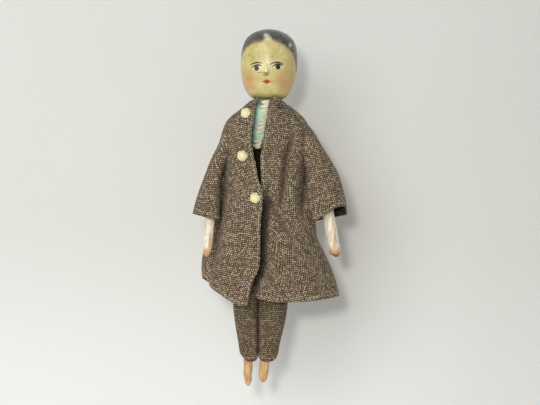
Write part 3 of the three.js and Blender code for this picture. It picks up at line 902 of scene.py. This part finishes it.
def add_stitch(vertices, faces, first, last, side, out):
    """One stitch: a short length of thread that arches out of the cloth and thins to both ends."""
    base = len(vertices)
    for s in np.linspace(0, 1, STITCH_RINGS):
        arch = math.sin(s * math.pi)
        centre = first + (last - first) * s + out * 0.12 * arch
        radius = STITCH_RADIUS * (0.45 + 0.55 * arch)
        for angle in around(STITCH_SIDES):
            vertices.append(place(*(centre + radius * (side * math.cos(angle) + out * math.sin(angle)))))
    for r in range(STITCH_RINGS - 1):
        for k in range(STITCH_SIDES):
            here, across = base + r * STITCH_SIDES + k, base + r * STITCH_SIDES + (k + 1) % STITCH_SIDES
            faces.append((here, across, across + STITCH_SIDES, here + STITCH_SIDES))
    last_ring = base + (STITCH_RINGS - 1) * STITCH_SIDES
    faces.append(tuple(base + k for k in reversed(range(STITCH_SIDES))))
    faces.append(tuple(last_ring + k for k in range(STITCH_SIDES)))


# ---- coat

COAT_WIDTH = {
    "right": Curve(
        (34, 24), (44.8, 24.3), (50, 24.8), (54.3, 24.6), (60, 23), (66, 21.6), (71, 20.2), (76, 18.6),
        (84, 17.7), (95, 17.7), (104, 17.9), (110.8, 17.2), (113.9, 15.2), (116.4, 12.2), (118.6, 9.6),
        (120.4, 8.2), (122.2, 7.6),
    ),
    "left": Curve(
        (34, 34.6), (40.6, 33.6), (50.1, 30.5), (58.6, 26.2), (65.5, 22.9), (70.2, 22.4), (83.2, 19.6),
        (95, 17.9), (104, 18.2), (110, 18), (113.6, 16.4), (116.4, 13.7), (118.8, 10.5), (120.6, 8.3),
        (122.2, 7.6),
    ),
}
COAT_MIDDLE_Y = Curve((34, 4.5), (60, 4), (72, 3), (84, 1.5), (95, 0.3), (122.2, 0.3))
COAT_FRONT_Y = Curve(
    (34, -14.5), (50, -13.4), (60, -12.4), (72, -11.4), (84, -10.8), (95, -10.4), (108, -9.8), (114, -9.2),
    (118, -8.6), (122.2, -8.2),
)
COAT_BACK_Y = Curve((34, 9.6), (60, 9), (84, 8.8), (100, 8.8), (110, 8.6), (116, 8.2), (122.2, 7.6))
FRONT_EDGE = {
    "right": Curve(*LAP_EDGE),
    "left": Curve(
        (30, -1.4), (38.1, -1.6), (60, -3.5), (76, -3.2), (82, -1.9), (88, -1.2), (94, -1.9), (98, -2),
        (101.5, -1.5), (105.4, -1.2), (109.2, -0.4), (113, 0), (120.2, 0.6), (124, 2.8),
    ),
}
HEM = {
    "right": {
        "front": Curve(
            (-26, 46), (-24.5, 45.6), (-22, 44.4), (-20.6, 41.6), (-16.6, 39), (-11.2, 35.9), (-5.9, 34.1),
            (0, 33.6),
        ),
        "back": Curve((-26, 45.6), (-20, 42), (-10, 38.5), (0, 37.5)),
    },
    "left": {
        "front": Curve((-6, 38.4), (0.9, 37.5), (7.5, 36.5), (12.3, 36.7), (22.7, 37.7), (33.6, 39.7)),
        "back": Curve((0, 37.5), (10, 37.5), (22, 38.5), (34, 40)),
    },
}
COAT_TOP = 120
COAT_THICKNESS = 0.55
LAP_LIFT = 1.9
LAP_CURL = 1.1
CURL_HEIGHT = 75
SEAM_LAP_ANGLE = 0.06
SEAM_LAP_LIFT = 0.4
LENS_POWER = 0.68
COLUMNS = 56
ROWS = 72


def coat_lap(side, angle, h):
    """How far the lapping right front stands forward, most of all where its edge curls away at the waist."""
    if side > 0:
        return 0
    near_edge = 1 - ease(math.radians(10), math.radians(62), angle)
    curl = LAP_CURL * math.exp(-(((h - CURL_HEIGHT) / 7) ** 2)) * (1 - ease(0, math.radians(16), angle))
    return near_edge * LAP_LIFT + curl


class Fold:
    """A fold that runs down the front: where it lies, how far it stands out (or in), and its width."""

    def __init__(self, line, depth, width):
        self.line = Curve(*line)
        self.depth = Curve(*depth)
        self.width = width

    def __call__(self, x, h):
        off = (x - self.line(h)) / self.width
        return self.depth(h) * math.exp(-off * off)


FOLDS = {
    "right": (
        Fold([(46, -20.4), (60, -18.8), (72, -17.9), (84, -17.6), (98, -17.2)],
             [(44, 0), (52, -3), (72, -5.6), (84, -6.2), (95, -4.2), (106, 0)], 1.5),
        Fold([(40, -13), (90, -10)], [(38, 0.5), (60, 1), (84, 0)], 5),
        Fold([(78, -5.4), (92, -6.6), (106, -8.2)], [(78, 0), (90, -0.8), (106, 0)], 1.6),
        Fold([(36, -8.6), (60, -5)], [(35, -0.7), (48, -0.4), (60, 0)], 1.8),
    ),
    "left": (
        Fold([(80, 8), (96, 8.9), (108, 11.4)], [(74, 0), (84, -3.6), (96, -4), (106, -2.2), (114, 0)], 1.2),
        Fold([(80, 12.2), (108, 14.6)], [(76, 0), (86, 1.2), (98, 1.3), (111, 0)], 2),
        Fold([(80, 5), (108, 6.4)], [(74, 0), (86, 1.1), (98, 1), (110, 0)], 1.8),
        Fold([(58, 16), (65.6, 11.7), (70.4, 9), (80, 1.3)],
             [(58, 0), (65, -1.8), (74, -2.8), (80, -1.6), (84, 0)], 1.5),
        Fold([(74, 16.6), (82, 16.8), (92, 17.3)], [(72, 0), (80, -5.4), (88, -4), (104, -3), (112, 0)], 1.5),
        Fold([(38, 21), (66, 17)], [(36, 0.6), (50, 0.5), (66, 0)], 4),
        Fold([(38, 12), (62, 11)], [(36, -0.5), (50, -0.4), (62, 0)], 3),
    ),
}
# how far the left front sinks back under the lap, and how wide that hollow is
LAP_SINK = Curve((34, 4.4), (45, 4), (56, 3.6), (66, 3.8), (77, 4), (82, 2.2), (86, 0.8), (108, 0))
LAP_SINK_WIDTH = Curve((34, 4.6), (45, 4.4), (56, 3.8), (66, 4.2), (77, 5.8), (82, 2.6), (88, 2), (108, 2))


def coat_folds(side, x, h, front):
    """How far the cloth stands out at a place. Behind, soft even folds deepen towards the hem."""
    if not front:
        return (1 - ease(44, 100, h)) * 0.5 * math.cos(x / 9.5 * math.tau)
    out = sum(fold(x, h) for fold in FOLDS["left" if side > 0 else "right"])
    if side > 0:
        edge = FRONT_EDGE["right"](h)
        width = LAP_SINK_WIDTH(h)
        out -= LAP_SINK(h) * (1 - ease(edge + width / 3, edge + width, x))
    return out


def coat_point(name, angle, h, lift=0):
    """The coat's surface. The angle goes from 0 at the middle of the front, round the side, to pi behind."""
    side = SIDES[name]
    front = angle < math.pi / 2
    x = side * COAT_WIDTH[name](h) * math.sin(angle)
    middle = COAT_MIDDLE_Y(h)
    reach = COAT_FRONT_Y(h) - middle if front else COAT_BACK_Y(h) - middle
    y = middle + reach * abs(math.cos(angle)) ** (LENS_POWER if front else 0.7)
    fade = ease(0, 0.35, abs(math.cos(angle)))
    fold = coat_folds(side, x, h, front) * fade
    out = coat_lap(side, angle, h) + lift
    return (x, y - (out + fold if front else -(lift + fold)), h)


def hem_height(name, angle):
    """Where the hem cuts the coat at an angle."""
    hem = HEM[name]["front" if angle < math.pi / 2 else "back"]
    h = 40
    for _ in range(12):
        x = SIDES[name] * COAT_WIDTH[name](h) * math.sin(angle)
        h = 0.5 * h + 0.5 * hem(x)
    return h


def edge_angle(name, h):
    """The angle of the front edge at a height, below 0 where it passes the middle."""
    x = FRONT_EDGE[name](h) * SIDES[name]
    return math.asin(max(-0.95, min(0.95, x / COAT_WIDTH[name](h))))


def coat_row(share):
    """Rows lie closer together over the shoulders."""
    return share ** 1.25


def column_bottom(name, across):
    """The height at which a column of the coat reaches the hem."""
    bottom = 38
    for _ in range(6):
        start = edge_angle(name, bottom)
        bottom = hem_height(name, start + (math.pi - start) * across)
    return bottom


def seam_lap(name, across):
    """The right half laps over the left one down the middle of the back: its extra angle and its lift."""
    if name == "left":
        return 0, 0
    at_seam = ease(0.93, 1, across)
    return SEAM_LAP_ANGLE * at_seam, SEAM_LAP_LIFT * at_seam


def coat_half(name):
    shares = [c / COLUMNS for c in range(COLUMNS + 1)]
    bottoms = [column_bottom(name, across) for across in shares]
    points = []
    for r in range(ROWS + 1):
        row = []
        for across, bottom in zip(shares, bottoms):
            h = COAT_TOP + (bottom - COAT_TOP) * coat_row(r / ROWS)
            start = edge_angle(name, h)
            extra, lift = seam_lap(name, across)
            row.append(coat_point(name, start + (math.pi - start) * across + extra, h, lift))
        points.append(row)
    return points


HIP_BEND = dict(start=(0, -5.7, 65.5), end=(0, -15.45, 60.4))  # two points at the hip, passed on with the skirt's bodies
FRONT_STITCHES = {"right": (118, 37), "left": (121, 40)}
EDGE_INSET = 1.1
HEM_INSET = 1.6


def hip_bodies(name):
    return ("torso", f"thigh_{name}", place(*HIP_BEND["start"]), place(*HIP_BEND["end"]))


def make_coat():
    for name in SIDES:
        cloth = tweed_piece(
            f"coat_{name}_half", coat_half(name), "coat" if name == "right" else "coat_under_lap",
            COAT_THICKNESS, hip_bodies(name), closed=False,
        )
        nodes = [f"coat_front_{name}"] + (["coat_back"] if name == "right" else [])
        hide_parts(*nodes)


# ---- sleeves

# each ring runs from the armpit side to the outer side: (inner x, inner h, outer x, outer h, y, half-depth)
SLEEVE_RINGS = {
    "right": [
        (11.5, 105.5, 12, 109.5, 0, 2), (13.2, 101, 15, 113.3, 0, 5.6), (15.2, 96, 17.7, 110.9, -0.2, 6.6),
        (17.4, 91, 20.1, 102.6, -0.5, 6.9), (18.2, 86, 22.9, 96.4, -0.9, 6.8),
        (18.1, 82, 25.1, 89.9, -1.4, 6.6), (18.1, 77, 27.4, 82.8, -2.2, 6.4), (18, 73, 28.9, 77.2, -2.9, 6.3),
        (18, 69.3, 29.9, 72.3, -3.5, 6.2),
    ],
    "left": [
        (11.5, 105.5, 12, 109.5, 0, 2), (13.4, 101, 15.8, 113.4, 0, 5.6), (15.8, 96, 20.3, 109.5, -0.2, 6.6),
        (17.5, 91.5, 23.6, 104.3, -0.4, 7), (17.8, 87, 28.2, 97.6, -0.7, 7),
        (18.1, 82.5, 31.5, 92.1, -0.9, 6.9), (18.9, 77.5, 33.8, 85.6, -1.1, 6.8),
        (20.2, 74, 35.4, 79.6, -1.3, 6.7), (21.6, 71, 36, 74.6, -1.5, 6.6),
    ],
}
CUFF_RISE = {"right": 0.8, "left": 6.5}  # how much higher the cuff's front lip stands than its back one
SLEEVE_THICKNESS = 0.5
SLEEVE_ROWS = 56
SLEEVE_POINTS = 44
ELBOW = {"right": (-21.5, -1.5, 85.1), "left": (25.1, -1, 86.8)}
ELBOW_REACH = 7  # the length each side of the elbow at which the sleeve's body points lie
CUFF_STITCH_ROW = -4


def sleeve_wrinkle(side, share, angle):
    """Shallow creases that cross the sleeve at the elbow and gather under the arm."""
    at_elbow = math.exp(-(((share - 0.58) / 0.2) ** 2))
    slant = math.sin(share * 42 + math.sin(angle) * 2.1 + side)
    long_fold = math.cos(angle * 3 + 1.2 * side + share * 2) * ease(0.25, 0.9, share)
    return 0.32 * at_elbow * slant + 0.28 * long_fold


def sleeve_rings(name):
    side = SIDES[name]
    keys = SLEEVE_RINGS[name]
    shape = Curve(*[(i / (len(keys) - 1), key) for i, key in enumerate(keys)])
    rings = []
    for share in np.linspace(0, 1, SLEEVE_ROWS + 1):
        ix, ih, ox, oh, y, deep = shape(share)
        middle = np.array([(ix + ox) / 2, (ih + oh) / 2])
        half = np.array([(ox - ix) / 2, (oh - ih) / 2])
        ring = []
        for angle in around(SLEEVE_POINTS):
            swell = 1 + sleeve_wrinkle(side, share, angle) / 6
            out = signed_power(math.cos(angle), 0.6 if math.cos(angle) < 0 else 0.9)
            front = signed_power(math.sin(angle), 0.85)
            px, ph = middle + half * out
            ph += CUFF_RISE[name] * ease(0.78, 1, share) * max(0, -front) * (0.5 + 0.5 * out)
            ring.append((side * px, y + deep * swell * front, ph))
        rings.append(ring)
    return rings


def make_sleeves():
    for name in SIDES:
        rings = sleeve_rings(name)
        elbow = np.array(ELBOW[name])
        hand = np.array(HANDS[name]["end"])
        down = (hand - elbow) / np.linalg.norm(hand - elbow)
        start, end = place(*(elbow - down * ELBOW_REACH)), place(*(elbow + down * ELBOW_REACH))
        bodies = (f"upper_arm_{name}", f"forearm_{name}", start, end)
        cloth = tweed_piece(
            f"sleeve_{name}_cloth", rings, "coat", SLEEVE_THICKNESS, bodies,
            fall=down,
        )
        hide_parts(f"sleeve_{name}")
        stitch_line(f"cuff_stitches_{name}", rings[CUFF_STITCH_ROW], bodies, closed=True)


# ---- trousers

TROUSER_OUT = {
    "right": Curve(
        (10.6, 5.9), (11.2, 7), (13.4, 7.5), (16.1, 7.8), (25.5, 9.7), (35, 11.1), (50, 11.6), (66, 11.8),
        (80, 11.4),
    ),
    "left": Curve(
        (10.6, 8.6), (11.9, 8.9), (13.6, 9.2), (16.8, 9.4), (23.6, 10.7), (30.6, 11.9), (36, 12.3),
        (50, 12.4), (66, 11.8), (80, 11.4),
    ),
}
TROUSER_INSEAM = Curve((10.6, 0.65), (13, 0.6), (20, 0.3), (36, -0.35), (48, -0.1), (80, 0))
INSEAM_OVERLAP = 0.04
TROUSER_DEPTH = Curve((10.6, 4.3), (36, 5.8), (55, 6.6), (66, 7.2), (80, 6.8))
TROUSER_TOP = 80
TROUSER_SPLIT = 48
HIP_SPAN = (72, 54)  # the heights of the body points passed on with each upper trouser piece
KNEE_SPAN = (41, 27)
TROUSER_THICKNESS = 0.45
TROUSER_POINTS = 40
TROUSER_RISE = 1.9  # how much higher the hem stands at the seams than in front
TROUSER_HEM = {"right": 10.6, "left": 10.8}
TROUSER_STITCH_ROW = -2


def trouser_ring(name, h):
    """A leg's section, square-cornered towards the other leg."""
    side = SIDES[name]
    outer, inner = TROUSER_OUT[name](h), side * TROUSER_INSEAM(h) - INSEAM_OVERLAP
    middle, half, deep = (outer + inner) / 2, (outer - inner) / 2, TROUSER_DEPTH(h)
    ring = []
    for angle in around(TROUSER_POINTS):
        cos, sin = math.cos(angle), math.sin(angle)
        crease = 0.25 * math.cos(angle * 4 + h * 0.13 * side) * (1 - ease(30, 60, h))
        x = side * (middle + half * signed_power(cos, 0.8 if cos > 0 else 0.6))
        y = (deep + crease) * signed_power(sin, 0.85)
        rise = TROUSER_RISE * abs(cos) ** 3 * (1 - ease(TROUSER_HEM[name], 18, h))
        ring.append((x, y, h + rise))
    return ring


def make_trousers():
    for name in SIDES:
        upper = [trouser_ring(name, h) for h in np.linspace(TROUSER_TOP, TROUSER_SPLIT, 22)]
        lower = [trouser_ring(name, h) for h in np.linspace(TROUSER_SPLIT, TROUSER_HEM[name], 26)]
        pieces = (("trouser_top", upper, "torso", f"thigh_{name}", HIP_SPAN),
                  ("trouser_leg", lower, f"thigh_{name}", f"lower_leg_{name}", KNEE_SPAN))
        for part, rings, above, below, (start, end) in pieces:
            bodies = (above, below, place(0, 0, start), place(0, 0, end))
            cloth = tweed_piece(
                f"{part}_{name}_cloth", rings, "trousers", TROUSER_THICKNESS, bodies,
            )
            if part == "trouser_leg":
                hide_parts(f"trouser_leg_{name}")
                stitch_line(f"trouser_stitches_{name}", rings[TROUSER_STITCH_ROW], bodies, closed=True)


# ---- shirt and lace

SHIRT_TOP = 122.2
SHIRT_BOTTOM = 100.5
SHIRT_RIGHT = Curve((SHIRT_BOTTOM, -7.8), (114, -7.4), (119, -6.2), (SHIRT_TOP, -4.6))
SHIRT_LEFT = Curve((SHIRT_BOTTOM, 3.2), (118, 3), (SHIRT_TOP, 2.4))
SHIRT_PLEAT = 0.18
PLEAT_PITCH = 1.9


def shirt_y(x, h):
    return -7.9 + (x / 14) ** 2 * 3 + 0.9 * ease(112, 122, h)


def make_shirt():
    rows = []
    for h in np.linspace(SHIRT_TOP, SHIRT_BOTTOM, 30):
        row = []
        for x in np.linspace(SHIRT_RIGHT(h), SHIRT_LEFT(h), 24):
            pleat = SHIRT_PLEAT * math.cos(x / PLEAT_PITCH * math.tau + h * 0.08)
            row.append((x, shirt_y(x, h) + pleat, h))
        rows.append(row)
    shirt = sheet_mesh("mint_shirt_front", rows, uvs=cloth_uvs(rows))
    thicken(shirt, 0.3)
    subdivide(shirt)
    settle(shirt, "shirt", "torso", "shirt_front")


LACE_ENDS = (122, 101.5)
LACE_PITCH = 1.85
LACE_BARE = ((114.9, 1), (106.6, 0.8))  # where the strip is folded under: height and half-length
LACE_EDGE = Curve((92, -3.2), (101, -2), (106, -1), (112, -0.1), (118, 0.6), (122.2, 1.2))


def make_lace():
    """A strip of lace, sewn along one side and scalloped along the other, each scallop puffed and ribbed."""
    rows = []
    for h in np.linspace(*LACE_ENDS, 183):
        phase = (h / LACE_PITCH) % 1
        shown = 1 - sum(math.exp(-(((h - at) / half) ** 4)) for at, half in LACE_BARE)
        bow = math.sin(phase * math.pi) * shown
        edge = LACE_EDGE(h)
        row = []
        for s in np.linspace(0, 1, 19):
            width = 0.1 + 0.5 * shown + 3.1 * bow ** 0.5
            x = edge - width * s
            drop = 0.35 * s
            ribs = 0.05 * math.cos((phase - 0.5) * 22 * (0.4 + s)) * ease(0.2, 0.7, s)
            puff = 1.25 * bow ** 0.8 * math.sin(min(1, s * 1.15) * math.pi) ** 0.7
            row.append((x, shirt_y(x, h) - 0.45 - ribs - puff, h - drop))
        rows.append(row)
    lace = sheet_mesh("scalloped_lace", rows, uvs=cloth_uvs(rows), turned=True)
    thicken(lace, 0.18)
    settle(lace, "lace", "torso", "shirt_lace")


# ---- collar, buttons, stitches, knot

COLLAR_FOOT = 118
COLLAR_RADIUS = 10.4
COLLAR_DEPTH = 9.3
COLLAR_LEAN = 0.82
COLLAR_TOP = Curve(
    (0, 124), (0.04, 123.4), (0.1, 122.4), (0.2, 121.6), (0.5, 121.8), (0.85, 121.4), (0.93, 121.8),
    (0.975, 122.4), (1, 122.9),
)


def make_collar():
    """A low collar of the coat's cloth that leans in to the neck, with its two points under the chin."""
    rows = []
    for s in np.linspace(0, 1, 14):
        left_end, right_end = (
            float(FRONT_EDGE[name](COLLAR_FOOT + (COLLAR_TOP(t) - COLLAR_FOOT) * s))
            for name, t in (("left", 0), ("right", 1))
        )
        start, end = math.asin(left_end / COLLAR_RADIUS), math.tau + math.asin(right_end / COLLAR_RADIUS)
        row = []
        for t in np.linspace(0, 1, 90):
            angle = start + (end - start) * t
            h = COLLAR_FOOT + (COLLAR_TOP(t) - COLLAR_FOOT) * s
            lean = (h - COLLAR_FOOT) * COLLAR_LEAN * abs(math.sin(angle)) ** 1.3
            lap = coat_lap(-1, math.tau - angle, h) * (1 - 0.45 * s) if angle > math.pi * 1.5 else 0
            x = (COLLAR_RADIUS - lean) * math.sin(angle)
            y = -(COLLAR_DEPTH - 0.18 * lean) * math.cos(angle) * (1 if math.cos(angle) > 0 else 0.92) - lap
            row.append((x, y, h))
        rows.append(row)
    collar = sheet_mesh("stand_collar", rows, uvs=cloth_uvs(rows), turned=True)
    thicken(collar, 0.6)
    subdivide(collar)
    settle(collar, "coat", "torso", "coat_collar")


BUTTONS = {"top": (-8.8, 115.8), "middle": (-9.5, 97.7), "bottom": (-3.4, 80.2)}
BUTTON_RADIUS = 2.3
BUTTON_DEPTH = 1.9
BUTTON_SIDES = 30


def make_buttons():
    """Half-round beads with softly faceted sides, sewn on through their backs."""
    for which, (x, h) in BUTTONS.items():
        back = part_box(f"button_{which}")[1].y / MM
        rings = []
        for s in np.linspace(0, 1, 12):
            bulge = math.cos(s * math.pi / 2) ** 0.55 if s < 1 else 0.02
            ring = []
            for angle in around(BUTTON_SIDES):
                facet = 0.05 * math.cos(angle * 5 + 0.4)
                notch = 0
                if which != "top":
                    off = (angle - math.radians(52) + math.pi) % math.tau - math.pi
                    notch = 0.22 * math.exp(-((off / 0.22) ** 2)) * (1 - s)
                radius = BUTTON_RADIUS * bulge * (1 + facet - notch)
                across, up = radius * math.cos(angle), radius * math.sin(angle)
                ring.append((x + across, back - BUTTON_DEPTH * s, h + up))
            rings.append(ring)
        button = solid_mesh(f"bead_button_{which}", rings)
        subdivide(button)
        settle(button, "button", "torso", f"button_{which}")


def make_stitches():
    for name in SIDES:
        for edge, path in (("hem", coat_hem_path(name)), ("front", coat_front_path(name))):
            stitch_line(f"{edge}_stitches_{name}", path, hip_bodies(name), lift=COAT_THICKNESS)


def coat_front_path(name):
    """Just inside a front edge, from the collar to the hem."""
    path = []
    for h in np.linspace(*FRONT_STITCHES[name], 60):
        angle = edge_angle(name, h) + EDGE_INSET / COAT_WIDTH[name](h)
        path.append(coat_point(name, angle, h))
    return path


def coat_hem_path(name):
    """Just above the hem, from the front edge round to the middle of the back."""
    first = edge_angle(name, 40)
    path = []
    for angle in np.linspace(first, math.pi, 120):
        path.append(coat_point(name, angle, hem_height(name, angle) + HEM_INSET))
    return path


KNOT_SIZE = 0.42
KNOT_THREAD = 0.22


def make_knot():
    """A small overhand knot of dark thread with two cut ends."""
    low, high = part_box("collar_knot")
    centre = (low + high) / 2
    curve = bpy.data.curves.new("collar_thread_knot", "CURVE")
    curve.dimensions = "3D"
    curve.bevel_depth = KNOT_THREAD * MM
    curve.bevel_resolution = 3
    spline = curve.splines.new("NURBS")
    turns = np.linspace(-0.1, 1.1, 40)
    spline.points.add(len(turns) - 1)
    for point, t in zip(spline.points, turns):
        a = t * math.tau * 2
        x, z = math.sin(a) + 2 * math.sin(2 * a), math.cos(a) - 2 * math.cos(2 * a)
        loop = Vector((x, math.sin(3 * a) * 0.8, z))
        point.co = (*(centre + loop * KNOT_SIZE * MM), 1)
    spline.use_endpoint_u = True
    knot = bpy.data.objects.new("collar_thread_knot", curve)
    bpy.context.scene.collection.objects.link(knot)
    settle(knot, "knot", "torso", "collar_knot")


# ---- stage and light


def make_stage():
    """A pale sheet of card that curves up behind the doll, and can't be seen from behind. Painted light makes
    it lighter towards the bottom and painted shade darker towards the doll's left.
    """
    back, radius, floor = 50, 60, -90
    rows = []
    profile = [(-600, floor), (back - radius, floor)]
    for a in np.linspace(0, math.pi / 2, 14)[1:]:
        profile.append((back - radius + radius * math.sin(a), floor + radius - radius * math.cos(a)))
    profile.append((back, 700))
    for x in np.linspace(-700, 700, 3):
        rows.append([(x, y, h) for y, h in profile])
    card = sheet_mesh("pale_card", rows)
    face_front = card.data.polygons[-1].normal
    if face_front.y > 0:
        card.data.flip_normals()
    t = Tree("pale_card")
    x, y, h = t.doll_point()
    mottle_and_painted_light = t.mix(t.noise((x, y, h), 0.02, 3), (228, 228, 223), (224, 223, 218))
    # painted light: the card lighter towards the bottom
    mottle_and_painted_light = t.mix(1 - t.ease(-20, 75, h), mottle_and_painted_light, (240, 240, 237))
    # painted shade: the card darker towards the doll's left
    mottle_and_painted_light = t.mix(t.ease(20, 130, x) * 0.35, mottle_and_painted_light, (206, 205, 199))
    t.finish(mottle_and_painted_light, 0.9, t.noise((x, y, h), 0.5, 3), relief=0.02, specular=0.2)
    behind = t.node("ShaderNodeNewGeometry").outputs["Backfacing"]
    clear = t.node("ShaderNodeBsdfTransparent")
    either = t.node("ShaderNodeMixShader")
    t.tree.links.new(behind, either.inputs[0])
    t.tree.links.new(t.shader.outputs[0], either.inputs[1])
    t.tree.links.new(clear.outputs[0], either.inputs[2])
    t.tree.links.new(either.outputs[0], t.output.inputs["Surface"])
    card.data.materials.append(t.material)
    card.visible_shadow = False


def area_light(name, position, target, size, power, tint=(1, 1, 1)):
    data = bpy.data.lights.new(name, "AREA")
    data.size = size
    data.energy = power
    data.color = tint
    light = bpy.data.objects.new(name, data)
    light.location = place(*position)
    light.rotation_mode = "QUATERNION"
    light.rotation_quaternion = (place(*target) - place(*position)).to_track_quat("-Z", "Y")
    bpy.context.scene.collection.objects.link(light)


def make_light():
    """A dim, cool world, with a small key lamp and a large one in front and a third behind."""
    world = bpy.data.worlds.new("studio")
    world.use_nodes = True
    world.node_tree.nodes["Background"].inputs[0].default_value = (0.94, 0.96, 1, 1)
    world.node_tree.nodes["Background"].inputs[1].default_value = 0.3
    bpy.context.scene.world = world
    bpy.context.scene.view_settings.view_transform = "Standard"
    middle = (0, 0, 80)
    area_light("key", (-95, -1000, 190), middle, 0.085, 2.9, (1, 0.98, 0.94))
    area_light("window", (-420, -950, 430), middle, 0.7, 4.9, (0.99, 1, 1))
    area_light("rear", (300, 700, 500), middle, 0.6, 3)


# ---- build

make_stage()
make_light()
make_head()
make_nose()
make_limbs()
repaint_kept_nodes()
make_shirt()
make_lace()
make_coat()
make_sleeves()
make_trousers()
make_collar()
make_buttons()
make_stitches()
make_knot()
